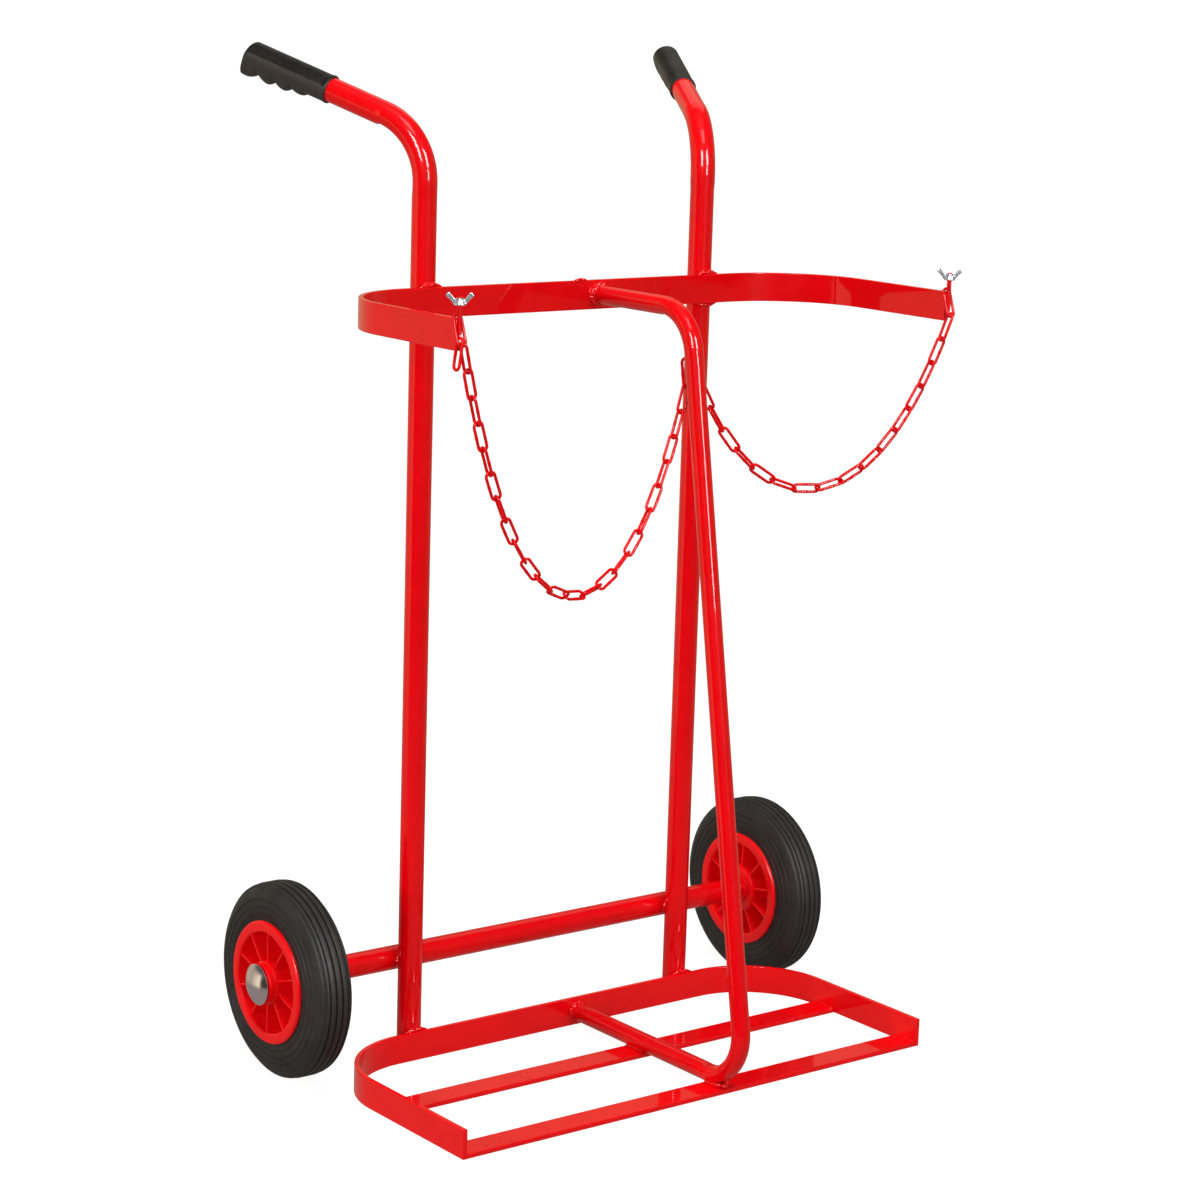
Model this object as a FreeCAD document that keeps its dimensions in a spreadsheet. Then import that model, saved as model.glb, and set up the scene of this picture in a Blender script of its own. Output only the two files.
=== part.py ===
# Two-bay gas cylinder trolley: bent tube uprights, two flat-bar bands, a centre
# divider, an axle with two solid-tyred wheels, moulded grips and two retaining
# chains held on threaded studs by wing nuts.
#
# Frame: millimetres, +Z up, X to the right seen from the open front, the open
# front faces -Y. z = 0 is the floor, x = 0 the middle between the uprights.
# The whole object is shifted along Y by ORIGIN_Y so that the middle of its
# bounding box is at y = 0.
import FreeCAD, Part
import Sketcher
import math
import os

V = FreeCAD.Vector
doc = FreeCAD.newDocument("CylinderTrolley")

# ---------------------------------------------------------------- dimensions
DIMS = [
    # frame tubes
    ("upright_x", 176.0), ("upright_od", 25.0), ("upright_wall", 2.0), ("upright_foot", 2.0),
    ("handle_vertex", 948.0), ("handle_bend", 68.0), ("handle_splay", 26.3), ("handle_rise", 18.5),
    ("handle_tube", 211.0),
    # flat-bar bands, measured from the uprights' centre plane
    ("bar_thick", 5.0), ("bar_height", 30.0), ("rail_back", 12.5),
    ("base_half", 295.0), ("base_front", 268.0), ("base_corner", 95.0),
    ("top_half", 306.0), ("top_front", 242.5), ("top_corner", 100.0), ("top_bottom", 768.0),
    # slats of the cylinder platform
    ("slat_width", 30.0), ("slat_thick", 5.0), ("rear_slat_front", 139.0),
    # divider between the two bays
    ("divider_x", 30.0), ("divider_od", 19.0), ("divider_wall", 1.5), ("divider_bend", 50.0),
    ("divider_top", 783.0), ("divider_top_y", 166.6), ("divider_low_y", 295.4),
    # axle and wheels
    ("axle_back", 25.0), ("axle_height", 100.0), ("axle_tube_od", 25.0), ("axle_tube_bore", 20.1),
    ("axle_tube_half", 282.0), ("rod_dia", 20.0), ("rod_half", 349.0),
    ("wheel_x", 309.5), ("tyre_rad", 100.0), ("tyre_half", 21.8), ("seat_rad", 60.0),
    ("lip_rad", 63.0), ("lip_half", 25.5), ("hub_bore", 14.1), ("hub_inner", 25.2), ("hub_outer", 32.5),
    ("boss_inner_rad", 25.0), ("boss_outer_rad", 20.5), ("web_half", 2.5), ("rib_thick", 2.2),
    ("roller_dia", 4.0), ("roller_pitch", 12.05), ("roller_length", 46.0),
    ("cage_in", 10.4), ("cage_out", 13.6), ("cage_start", 24.9), ("cage_end", 32.2),
    ("washer_out", 15.5), ("washer_thick", 2.0), ("washer_gap", 0.3),
    ("cap_rad", 21.0), ("cap_rise", 8.0), ("cap_skin", 1.2),
    # grips
    ("grip_start", 113.0), ("grip_end", 216.0), ("grip_rad", 14.0),
    # chain studs and wing nuts
    ("stud_dia", 5.0), ("stud_low_left", 782.5), ("stud_low_right", 777.5), ("stud_top", 817.0), ("stud_x", 303.5), ("stud_y", 245.0),
    ("nut_low", 809.6), ("nut_height", 6.8), ("nut_base_rad", 5.6), ("nut_top_rad", 3.9), ("nut_bore_rad", 2.55),
    ("wing_out", 13.2), ("wing_top", 12.8), ("wing_thick", 2.6),
    # long-link chain
    ("wire_dia", 3.0), ("link_inner", 26.2), ("link_width", 12.0), ("link_pitch", 26.0),
    # spare link left hanging beside the left chain: middle of its top wire
    ("spare_x", -304.937), ("spare_y", -249.221), ("spare_top", 780.658), ("spare_lean", 8.28),
    # position of the row's origin behind the uprights' centre plane
    ("shift_y", 51.915),
]
D = dict(DIMS)
dims = doc.addObject("Spreadsheet::Sheet", "dims")
for i, (alias, val) in enumerate(DIMS):
    dims.set("A%d" % (i + 1), alias)
    dims.set("B%d" % (i + 1), repr(val))
    dims.setAlias("B%d" % (i + 1), alias)
doc.recompute()
SHIFT = D["shift_y"]


class Q:
    """A length that carries its value and the sheet expression it follows."""

    def __init__(self, v, t):
        self.v, self.t = float(v), t

    @staticmethod
    def of(o):
        return o if isinstance(o, Q) else Q(o, "(%r)" % float(o))

    def __add__(self, o):
        o = Q.of(o)
        return Q(self.v + o.v, "(%s + %s)" % (self.t, o.t))

    def __radd__(self, o):
        return Q.of(o) + self

    def __sub__(self, o):
        o = Q.of(o)
        return Q(self.v - o.v, "(%s - %s)" % (self.t, o.t))

    def __rsub__(self, o):
        return Q.of(o) - self

    def __mul__(self, o):
        o = Q.of(o)
        return Q(self.v * o.v, "(%s * %s)" % (self.t, o.t))

    def __rmul__(self, o):
        return Q.of(o) * self

    def __truediv__(self, o):
        o = Q.of(o)
        return Q(self.v / o.v, "(%s / %s)" % (self.t, o.t))

    def __neg__(self):
        return Q(-self.v, "(0 - %s)" % self.t)


def q(alias):
    return Q(D[alias], "dims.%s" % alias)


def qsin(a):
    return Q(math.sin(math.radians(a.v)), "sin(%s)" % a.t)


def qcos(a):
    return Q(math.cos(math.radians(a.v)), "cos(%s)" % a.t)


def qtan(a):
    return Q(math.tan(math.radians(a.v)), "tan(%s)" % a.t)


nodes = {}          # node name -> document object whose Shape is written
made = []           # every object made, for the state check


def plane_of(body, role):
    for f in body.Origin.OriginFeatures:
        if f.Role == role:
            return f
    raise RuntimeError("no plane " + role)


def new_body(name):
    b = doc.addObject("PartDesign::Body", name)
    b.Label = name
    made.append(b)
    return b


def new_sketch(body, name, role):
    s = body.newObject("Sketcher::SketchObject", name)
    s.AttachmentSupport = [(plane_of(body, role), "")]
    s.MapMode = "FlatFace"
    made.append(s)
    return s


def pin_point(sk, geo, pos, x, y, tag):
    """Tie a vertex of a sketch to sheet expressions."""
    for axis, kind, val in (("x", "DistanceX", x), ("y", "DistanceY", y)):
        val = Q.of(val)
        if abs(val.v) < 1e-9:
            sk.addConstraint(Sketcher.Constraint("PointOnObject", geo, pos, -2 if axis == "x" else -1))
        else:
            n = sk.addConstraint(Sketcher.Constraint(kind, -1, 1, geo, pos, val.v))
            nm = "%s_%s" % (tag, axis)
            sk.renameConstraint(n, nm)
            if "dims." in val.t:
                sk.setExpression("Constraints." + nm, val.t)


def outline(sk, pts, arcs=None, closed=True, tag="v"):
    """Vertices (x, y) joined by lines; arcs = {segment index: (radius, ccw)}."""
    arcs = arcs or {}
    n = len(pts)
    segs = n if closed else n - 1
    P = [V(Q.of(x).v, Q.of(y).v, 0) for x, y in pts]
    ends = []
    for i in range(segs):
        a, b = P[i], P[(i + 1) % n]
        if i in arcs:
            r, ccw = arcs[i]
            r = Q.of(r)
            mid = (a + b) * 0.5
            d = b - a
            h = math.sqrt(max(r.v ** 2 - (d.Length / 2) ** 2, 0.0))
            nrm = V(-d.y, d.x, 0).normalize()
            c = mid + nrm * (h if ccw else -h)
            a0 = math.atan2(a.y - c.y, a.x - c.x)
            a1 = math.atan2(b.y - c.y, b.x - c.x)
            if ccw:
                g = sk.addGeometry(Part.ArcOfCircle(Part.Circle(c, V(0, 0, 1), r.v), a0, a1 if a1 > a0 else a1 + 2 * math.pi), False)
                ends.append((g, 1, 2))
            else:
                g = sk.addGeometry(Part.ArcOfCircle(Part.Circle(c, V(0, 0, 1), r.v), a1, a0 if a0 > a1 else a0 + 2 * math.pi), False)
                ends.append((g, 2, 1))
            k = sk.addConstraint(Sketcher.Constraint("Radius", g, r.v))
            sk.renameConstraint(k, "%s_r%d" % (tag, i))
            if "dims." in r.t:
                sk.setExpression("Constraints.%s_r%d" % (tag, i), r.t)
        else:
            g = sk.addGeometry(Part.LineSegment(a, b), False)
            ends.append((g, 1, 2))
    for i in range(segs):
        if i + 1 < segs or closed:
            a, b = ends[i], ends[(i + 1) % segs]
            sk.addConstraint(Sketcher.Constraint("Coincident", a[0], a[2], b[0], b[1]))
    for i in range(segs):
        g, s, e = ends[i]
        pin_point(sk, g, s, pts[i][0], pts[i][1], "%s%d" % (tag, i))
    if not closed:
        g, s, e = ends[-1]
        pin_point(sk, g, e, pts[-1][0], pts[-1][1], "%s%d" % (tag, n - 1))
    return ends


def circle(sk, r, tag, cx=0.0, cy=0.0):
    r = Q.of(r)
    g = sk.addGeometry(Part.Circle(V(Q.of(cx).v, Q.of(cy).v, 0), V(0, 0, 1), r.v), False)
    pin_point(sk, g, 3, cx, cy, tag + "c")
    k = sk.addConstraint(Sketcher.Constraint("Radius", g, r.v))
    sk.renameConstraint(k, tag)
    if "dims." in r.t:
        sk.setExpression("Constraints." + tag, r.t)


def pad(body, sk, name, length, both=False):
    p = body.newObject("PartDesign::Pad", name)
    p.Profile = sk
    p.Length = Q.of(length).v
    if both:
        if "SideType" in p.PropertiesList:
            p.SideType = "Symmetric"
        else:
            p.Midplane = True
    if "dims." in Q.of(length).t:
        p.setExpression("Length", length.t)
    body.Tip = p
    made.append(p)
    return p


def revolve(body, sk, name):
    r = body.newObject("PartDesign::Revolution", name)
    r.Profile = sk
    r.ReferenceAxis = (sk, ["H_Axis"])
    r.Angle = 360.0
    body.Tip = r
    made.append(r)
    return r


def place(obj, x, y, z, rot=None):
    obj.Placement = FreeCAD.Placement(V(x, y + SHIFT, z), rot or FreeCAD.Rotation())


def pipe_body(name, profile_role, spine_role, od, wall, pts, arcs):
    """Round tube swept along a planar path of runs and tangent arcs."""
    b = new_body(name)
    prof = new_sketch(b, name + "_section", profile_role)
    circle(prof, od / 2, "outer")
    circle(prof, od / 2 - wall, "inner")
    spine = new_sketch(b, name + "_path", spine_role)
    outline(spine, pts, arcs, closed=False, tag="p")
    doc.recompute()
    p = b.newObject("PartDesign::AdditivePipe", name + "_sweep")
    p.Profile = prof
    p.Spine = (spine, [])
    p.Mode = "Standard"
    b.Tip = p
    made.append(p)
    return b


# ------------------------------------------------------------------- uprights
# Each upright runs straight up, then bends back, up and outwards to a handle.
foot = q("upright_foot")
turn = 90.0 - q("handle_rise")                      # angle the tube turns through
tang = q("handle_bend") * qtan(turn / 2)
rise_c, rise_s = qcos(q("handle_rise")), qsin(q("handle_rise"))
vert = q("handle_vertex") - foot
up_pts = [(0.0, 0.0), (0.0, vert - tang), (tang * rise_c, vert + tang * rise_s),
          (q("handle_tube") * rise_c, vert + q("handle_tube") * rise_s)]
for side, s in (("left", -1), ("right", 1)):
    b = pipe_body(side + "_upright", "XY_Plane", "XZ_Plane", q("upright_od"), q("upright_wall"),
                  up_pts, {1: (q("handle_bend"), False)})
    ang = 90.0 + D["handle_splay"] if s < 0 else 90.0 - D["handle_splay"]
    place(b, s * D["upright_x"], 0.0, D["upright_foot"], FreeCAD.Rotation(V(0, 0, 1), ang))
    nodes[b.Label] = b

# ------------------------------------------------------------ flat-bar bands
def band(name, half, front, corner, low):
    t, back = q("bar_thick"), -q("rail_back")
    yc = back - corner
    pts = [(-half, -front), (-half, yc), (-half + corner, back), (half - corner, back),
           (half, yc), (half, -front), (half - t, -front), (half - t, yc),
           (half - corner, back - t), (-half + corner, back - t), (-half + t, yc), (-half + t, -front)]
    b = new_body(name)
    sk = new_sketch(b, name + "_plan", "XY_Plane")
    outline(sk, pts, {1: (corner, False), 3: (corner, False), 7: (corner - t, True), 9: (corner - t, True)})
    pad(b, sk, name + "_bar", q("bar_height"))
    place(b, 0, 0, low)
    nodes[name] = b


band("base_band", q("base_half"), q("base_front"), q("base_corner"), 0.0)
band("top_band", q("top_half"), q("top_front"), q("top_corner"), D["top_bottom"])

# -------------------------------------------------------------------- slats
for name, front in (("front_slat", q("base_front")), ("rear_slat", q("rear_slat_front"))):
    s = doc.addObject("Part::Box", name)
    s.Label = name
    ln = 2 * (q("base_half") - q("bar_thick"))
    s.setExpression("Length", ln.t)
    s.setExpression("Width", "dims.slat_width")
    s.setExpression("Height", "dims.slat_thick")
    place(s, -ln.v / 2, -front.v, 0.0)
    s.setExpression("Placement.Base.x", "0 - " + (ln / 2).t)
    s.setExpression("Placement.Base.y", "dims.shift_y - " + front.t)
    made.append(s)
    nodes[name] = s

# ------------------------------------------------------------------- divider
# Starts on the front face of the top band's rear rail, runs forward, turns
# down, leans forward to the platform and returns along the slats to the base.
bar_front = q("rail_back") + q("bar_thick")
low_z = q("slat_thick") + q("divider_od") / 2
drop = q("divider_top") - low_z
lean = q("divider_low_y") - q("divider_top_y")
slope = math.degrees(math.atan2(lean.v, drop.v))
slope_q = Q(slope, "(atan(%s / %s) / (1 deg))" % (lean.t, drop.t))
t_top = q("divider_bend") * qtan((90.0 - slope_q) / 2)
t_low = q("divider_bend") * qtan((90.0 + slope_q) / 2)
ytop = q("divider_top_y") - bar_front
ylow = q("divider_low_y") - bar_front
ss, sc = qsin(slope_q), qcos(slope_q)
div_pts = [(0.0, 0.0), (-(ytop - t_top), 0.0), (-(ytop + t_top * ss), -(t_top * sc)),
           (-(ylow - t_low * ss), -(drop - t_low * sc)), (-(ylow - t_low), -drop), (0.0, -drop)]
b = pipe_body("divider_tube", "XZ_Plane", "YZ_Plane", q("divider_od"), q("divider_wall"),
              div_pts, {1: (q("divider_bend"), True), 3: (q("divider_bend"), True)})
place(b, D["divider_x"], -bar_front.v, D["divider_top"])
nodes["divider_tube"] = b

# ------------------------------------------------------------- axle and tube
def ring_body(name, r_in, r_out, length):
    b = new_body(name)
    sk = new_sketch(b, name + "_section", "YZ_Plane")
    circle(sk, r_out, "outer")
    circle(sk, r_in, "inner")
    pad(b, sk, name + "_length", length)
    nodes[name] = b
    return b


b = ring_body("axle_tube", q("axle_tube_bore") / 2, q("axle_tube_od") / 2, 2 * q("axle_tube_half"))
place(b, -D["axle_tube_half"], D["axle_back"], D["axle_height"])

rod = doc.addObject("Part::Cylinder", "axle_rod")
rod.Label = "axle_rod"
rod.setExpression("Radius", "dims.rod_dia / 2")
rod.setExpression("Height", "2 * dims.rod_half")
place(rod, -D["rod_half"], D["axle_back"], D["axle_height"], FreeCAD.Rotation(V(0, 1, 0), 90))
made.append(rod)
nodes["axle_rod"] = rod

# -------------------------------------------------------------------- wheels
# Profiles are drawn as (distance outwards along the axle, radius).
tyre_pts = [(-q("tyre_half"), q("seat_rad")), (q("tyre_half"), q("seat_rad")),
            (q("tyre_half"), q("lip_rad") + 0.6), (q("tyre_half") + 0.2, q("lip_rad") + 9.0),
            (q("tyre_half") - 0.4, q("tyre_rad") - 17.0), (q("tyre_half") - 2.4, q("tyre_rad") - 10.5),
            (q("tyre_half") - 5.4, q("tyre_rad") - 5.4), (q("tyre_half") - 8.6, q("tyre_rad") - 1.6),
            (11.6, q("tyre_rad") - 0.8)]
for g in (10.8, 3.6):                                # tread grooves, outer half
    tyre_pts += [(g + 0.8, q("tyre_rad") - 0.5 * (g > 5)), (g + 0.3, q("tyre_rad") - 2.2),
                 (g - 0.3, q("tyre_rad") - 2.2), (g - 0.8, q("tyre_rad") - 0.2 * (g > 5))]
mirror = [(-x if isinstance(x, Q) else -x, y) for x, y in reversed(tyre_pts[2:])]
tyre_pts = tyre_pts + mirror
rim_pts = [(-q("hub_inner"), q("hub_bore")), (q("hub_outer"), q("hub_bore")),
           (q("hub_outer"), q("boss_outer_rad") - 1.0), (q("hub_outer") - 1.0, q("boss_outer_rad")),
           (q("web_half"), q("boss_outer_rad") + 1.0), (q("web_half"), q("seat_rad") - 10.4),
           (q("lip_half") - 1.2, q("seat_rad") - 8.4), (q("lip_half"), q("seat_rad") - 7.2), (q("lip_half"), q("lip_rad") - 0.8),
           (q("lip_half") - 0.8, q("lip_rad")), (q("tyre_half") + 0.05, q("lip_rad")),
           (q("tyre_half") + 0.05, q("seat_rad")), (-(q("tyre_half") + 0.05), q("seat_rad")),
           (-(q("tyre_half") + 0.05), q("lip_rad")), (-(q("lip_half") - 0.8), q("lip_rad")),
           (-q("lip_half"), q("lip_rad") - 0.8), (-q("lip_half"), q("seat_rad") - 7.2),
           (-(q("lip_half") - 1.2), q("seat_rad") - 8.4), (-q("web_half"), q("seat_rad") - 10.4), (-q("web_half"), q("boss_inner_rad") + 1.0),
           (-(q("hub_inner") - 1.0), q("boss_inner_rad")), (-q("hub_inner"), q("boss_inner_rad") - 1.0)]
rib_pts = [(-23.0, q("boss_inner_rad") - 3.0), (23.0, q("boss_outer_rad") - 2.5),
           (23.4, q("seat_rad") - 7.0), (-23.4, q("seat_rad") - 7.0)]
cap_r = (q("cap_rad") * q("cap_rad") + q("cap_rise") * q("cap_rise")) / (2 * q("cap_rise"))
cap_i = q("cap_rad") - q("cap_skin")
cap_ih = q("cap_rise") - q("cap_skin")
cap_ri = (cap_i * cap_i + cap_ih * cap_ih) / (2 * cap_ih)


def sphere_x(radius, rise, rr):
    """Distance along the axle of a dome of the given sphere radius at radius rr."""
    return Q(math.sqrt(radius.v ** 2 - rr.v ** 2), "sqrt(%s * %s - %s * %s)" % (radius.t, radius.t, rr.t, rr.t)) - (radius - rise)


for side, s in (("left", -1), ("right", 1)):
    turn_out = FreeCAD.Rotation(V(0, 0, 1), 180) if s < 0 else FreeCAD.Rotation()
    at = (s * D["wheel_x"], D["axle_back"], D["axle_height"])
    # solid tyre with a grooved tread
    b = new_body(side + "_tyre")
    sk = new_sketch(b, side + "_tyre_profile", "XZ_Plane")
    outline(sk, tyre_pts)
    revolve(b, sk, side + "_tyre_turned")
    place(b, *at, rot=turn_out)
    nodes[b.Label] = b
    # one-piece moulded rim: hub, web, ten ribs and the two lips
    b = new_body(side + "_wheel_rim")
    sk = new_sketch(b, side + "_rim_profile", "XZ_Plane")
    outline(sk, rim_pts)
    revolve(b, sk, side + "_rim_turned")
    doc.recompute()
    sk2 = new_sketch(b, side + "_rib_profile", "XZ_Plane")
    outline(sk2, rib_pts, tag="w")
    rib = pad(b, sk2, side + "_rib", q("rib_thick"), both=True)
    doc.recompute()
    pat = b.newObject("PartDesign::PolarPattern", side + "_ribs")
    pat.Originals = [rib]
    pat.Axis = (sk2, ["H_Axis"])
    pat.Angle = 360.0
    pat.Occurrences = 10
    b.Tip = pat
    made.append(pat)
    place(b, *at, rot=turn_out if s < 0 else FreeCAD.Rotation(V(1, 0, 0), 6.8))
    nodes[b.Label] = b
    # roller bearing between hub and axle: slotted cage and eight rollers
    b = new_body(side + "_roller_cage")
    sk = new_sketch(b, side + "_cage_section", "YZ_Plane")
    circle(sk, q("cage_out"), "outer")
    circle(sk, q("cage_in"), "inner")
    pad(b, sk, side + "_cage_sleeve", q("cage_start") + q("cage_end"))
    doc.recompute()
    sk = new_sketch(b, side + "_cage_slot", "XY_Plane")
    mid = (q("cage_start") + q("cage_end")) / 2
    hl, hw = q("roller_length") / 2 + 0.3, q("roller_dia") / 2 + 0.15
    outline(sk, [(mid - hl, -hw), (mid + hl, -hw), (mid + hl, hw), (mid - hl, hw)], tag="s")
    cut = b.newObject("PartDesign::Pocket", side + "_cage_pocket")
    cut.Profile = sk
    cut.Length = 20.0
    cut.Reversed = True
    b.Tip = cut
    made.append(cut)
    doc.recompute()
    pat = b.newObject("PartDesign::PolarPattern", side + "_cage_pockets")
    pat.Originals = [cut]
    pat.Axis = (sk, ["H_Axis"])
    pat.Angle = 360.0
    pat.Occurrences = 8
    b.Tip = pat
    made.append(pat)
    if s > 0:
        place(b, at[0] - D["cage_start"], at[1], at[2])
    else:
        place(b, at[0] + D["cage_start"], at[1], at[2], turn_out)
    nodes[b.Label] = b
    rollers = []
    for k in range(8):
        c = doc.addObject("Part::Cylinder", "%s_roller_%d" % (side, k + 1))
        c.setExpression("Radius", "dims.roller_dia / 2")
        c.setExpression("Height", "dims.roller_length")
        a = 2 * math.pi * k / 8 + math.pi / 2
        x0 = s * (D["wheel_x"] + (D["cage_end"] - D["cage_start"]) / 2)
        place(c, x0 - D["roller_length"] / 2, D["axle_back"] + D["roller_pitch"] * math.cos(a),
              D["axle_height"] + D["roller_pitch"] * math.sin(a), FreeCAD.Rotation(V(0, 1, 0), 90))
        made.append(c)
        rollers.append(c)
    grp = doc.addObject("Part::Compound", side + "_bearing_rollers")
    grp.Links = rollers
    grp.Label = side + "_bearing_rollers"
    made.append(grp)
    nodes[grp.Label] = grp
    # washers each side of the hub
    for nm, x0 in (("inner", D["wheel_x"] - D["hub_inner"] - D["washer_gap"] - D["washer_thick"]),
                   ("outer", D["wheel_x"] + D["hub_outer"] + D["washer_gap"])):
        b = ring_body("%s_%s_washer" % (side, nm), q("rod_dia") / 2, q("washer_out"), q("washer_thick"))
        place(b, x0 if s > 0 else -x0, D["axle_back"], D["axle_height"], turn_out)
    # domed axle cap with a collar that grips the end of the rod
    b = new_body(side + "_axle_cap")
    sk = new_sketch(b, side + "_cap_profile", "XZ_Plane")
    rr, rc = q("rod_dia") / 2, q("rod_dia") / 2 + 1.4
    outline(sk, [(0.0, rr), (0.0, rc), (sphere_x(cap_ri, cap_ih, rc), rc), (0.0, cap_i), (0.0, q("cap_rad")),
                 (q("cap_rise"), 0.0), (cap_ih, 0.0), (sphere_x(cap_ri, cap_ih, rr), rr)],
            {2: (cap_ri, True), 4: (cap_r, False), 6: (cap_ri, True)})
    revolve(b, sk, side + "_cap_pressed")
    x0 = D["wheel_x"] + D["hub_outer"] + D["washer_gap"] + D["washer_thick"]
    place(b, x0 if s > 0 else -x0, D["axle_back"], D["axle_height"], turn_out)
    nodes[b.Label] = b

# --------------------------------------------------------------------- grips
# Local frame of a handle: x along the tube from the bend's vertex, z square to
# it and upwards. The finger side is underneath.
def handle_rotation(s):
    ph, ep = math.radians(D["handle_splay"]), math.radians(D["handle_rise"])
    x = V(s * math.sin(ph) * math.cos(ep), math.cos(ph) * math.cos(ep), math.sin(ep))
    y = V(0, 0, 1).cross(x).normalize()
    z = x.cross(y)
    return FreeCAD.Rotation(x, y, z, "XYZ")


glen = D["grip_end"] - D["grip_start"]
for side, s in (("left", -1), ("right", 1)):
    rot = handle_rotation(s)
    base = V(s * D["upright_x"], 0, D["handle_vertex"])
    b = new_body(side + "_grip")
    sk = new_sketch(b, side + "_grip_outer", "YZ_Plane")
    circle(sk, q("grip_rad"), "round")
    pad(b, sk, side + "_grip_barrel", q("grip_end") - q("grip_start"))
    doc.recompute()
    # finger side: four swells that grow towards the end, in two widths
    ge = q("grip_end") - q("grip_start")
    for k, (wide, up) in enumerate(((21.0, 2.6), (13.0, 0.0))):
        sk = new_sketch(b, "%s_grip_fingers_%d" % (side, k), "XZ_Plane")
        gr = q("grip_rad") - up
        outline(sk, [(18.0, -4.0), (18.0, -(gr - 0.6)), (24.0, -(gr + 1.0)), (40.0, -(gr + 1.8)), (44.0, -(gr + 1.8)),
                     (60.0, -(gr + 2.0)), (64.0, -(gr + 2.0)), (80.0, -(gr + 2.0)), (84.0, -(gr + 2.0)),
                     (ge - 2.5, -(gr + 4.5)), (ge, -(gr + 2.0)), (ge, -4.0)],
                {2: (14.5, True), 3: (3.0, False), 4: (9.2, True), 5: (3.0, False), 6: (8.3, True),
                 7: (3.0, False), 8: (8.7, True)}, tag="f")
        pad(b, sk, "%s_grip_ridge_%d" % (side, k), wide, both=True)
        doc.recompute()
    # socket for the tube, closed at the outer end
    sk = new_sketch(b, side + "_grip_bore", "YZ_Plane")
    circle(sk, q("upright_od") / 2, "bore")
    cut = b.newObject("PartDesign::Pocket", side + "_grip_socket")
    cut.Profile = sk
    cut.Length = D["handle_tube"] - D["grip_start"]
    cut.setExpression("Length", "dims.handle_tube - dims.grip_start")
    cut.Reversed = True
    b.Tip = cut
    made.append(cut)
    b.Placement = FreeCAD.Placement(base + rot.multVec(V(D["grip_start"], 0, 0)) + V(0, SHIFT, 0), rot)
    nodes[b.Label] = b

# ---------------------------------------------------- studs and wing nuts
for side, s in (("left", -1), ("right", 1)):
    c = doc.addObject("Part::Cylinder", side + "_chain_stud")
    c.Label = side + "_chain_stud"
    c.setExpression("Radius", "dims.stud_dia / 2")
    c.setExpression("Height", "dims.stud_top - dims.stud_low_%s" % side)
    place(c, s * D["stud_x"], -D["stud_y"], D["stud_low_" + side])
    made.append(c)
    nodes[c.Label] = c
    b = new_body(side + "_wing_nut")
    # boss turned about the sketch's horizontal axis, then stood upright
    sk = new_sketch(b, side + "_nut_profile", "XZ_Plane")
    outline(sk, [(0.0, q("nut_bore_rad")), (0.0, q("nut_base_rad") - 0.5), (0.5, q("nut_base_rad")), (2.4, q("nut_base_rad") - 0.2),
                 (q("nut_height") - 1.2, q("nut_top_rad")), (q("nut_height"), q("nut_top_rad") - 1.0),
                 (q("nut_height"), q("nut_bore_rad"))])
    revolve(b, sk, side + "_nut_boss")
    doc.recompute()
    # wings, drawn as (height, distance out); they stay clear of the thread
    for k, m in ((0, 1.0), (1, -1.0)):
        sk = new_sketch(b, "%s_wing_%d" % (side, k), "XZ_Plane")
        wo, wt = q("wing_out"), q("wing_top")
        pts = [(0.7, 3.4), (0.9, 5.4), (wt - 3.6, wo), (wt - 2.8, wo + 0.2), (wt, wo - 3.0), (wt, wo - 3.9),
               (q("nut_height") - 1.6, 3.4)]
        pts = [(x, m * Q.of(y)) for x, y in pts]
        if m < 0:
            pts = pts[::-1]
        outline(sk, pts, tag="w")
        pad(b, sk, "%s_wing_pad_%d" % (side, k), q("wing_thick"), both=True)
        doc.recompute()
    # local x is up; the wings' plane is turned to the angle seen in the photograph
    wing_dir = {-1: -34.0, 1: -34.0}[s]
    up = FreeCAD.Rotation(V(0, 0, 1), wing_dir).multiply(FreeCAD.Rotation(V(0, 1, 0), -90))
    b.Placement = FreeCAD.Placement(V(s * D["stud_x"], -D["stud_y"] + SHIFT, D["nut_low"]), up)
    nodes[b.Label] = b

# -------------------------------------------------------------------- chains
WR = D["wire_dia"] / 2
ARC = D["link_width"] / 2 - WR                      # centreline radius of a link's ends
HALF = (D["link_inner"] + D["wire_dia"]) / 2        # centre to the end wire's centreline
ST = HALF - ARC                                     # half of the straight side


def link_solid():
    """One closed link: round wire along a stadium, long axis X, width along Y."""
    p = [V(-ST, -ARC, 0), V(ST, -ARC, 0), V(ST, ARC, 0), V(-ST, ARC, 0)]
    edges = [Part.LineSegment(p[0], p[1]).toShape(),
             Part.Arc(p[1], V(ST + ARC, 0, 0), p[2]).toShape(),
             Part.LineSegment(p[2], p[3]).toShape(),
             Part.Arc(p[3], V(-ST - ARC, 0, 0), p[0]).toShape()]
    path = Part.Wire(edges)
    prof = Part.Wire([Part.Circle(p[0], V(1, 0, 0), WR).toShape()])
    sh = path.makePipeShell([prof], True, True)
    if sh.ShapeType != "Solid":
        sh = Part.makeSolid(sh)
    want = math.pi * WR ** 2 * (4 * ST + 2 * math.pi * ARC)
    if abs(sh.Volume - want) > 0.01 * want:
        raise RuntimeError("link volume %.2f, expected %.2f" % (sh.Volume, want))
    return sh


LINK = link_solid()


def link_at(c, along, wide):
    """Placement of a link with centre c, long axis along and width axis near wide."""
    x = V(along).normalize()
    w = V(wide) - x * x.dot(V(wide))
    w.normalize()
    return FreeCAD.Placement(c + V(0, SHIFT, 0), FreeCAD.Rotation(x, w, x.cross(w), "XYZ"))


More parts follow.
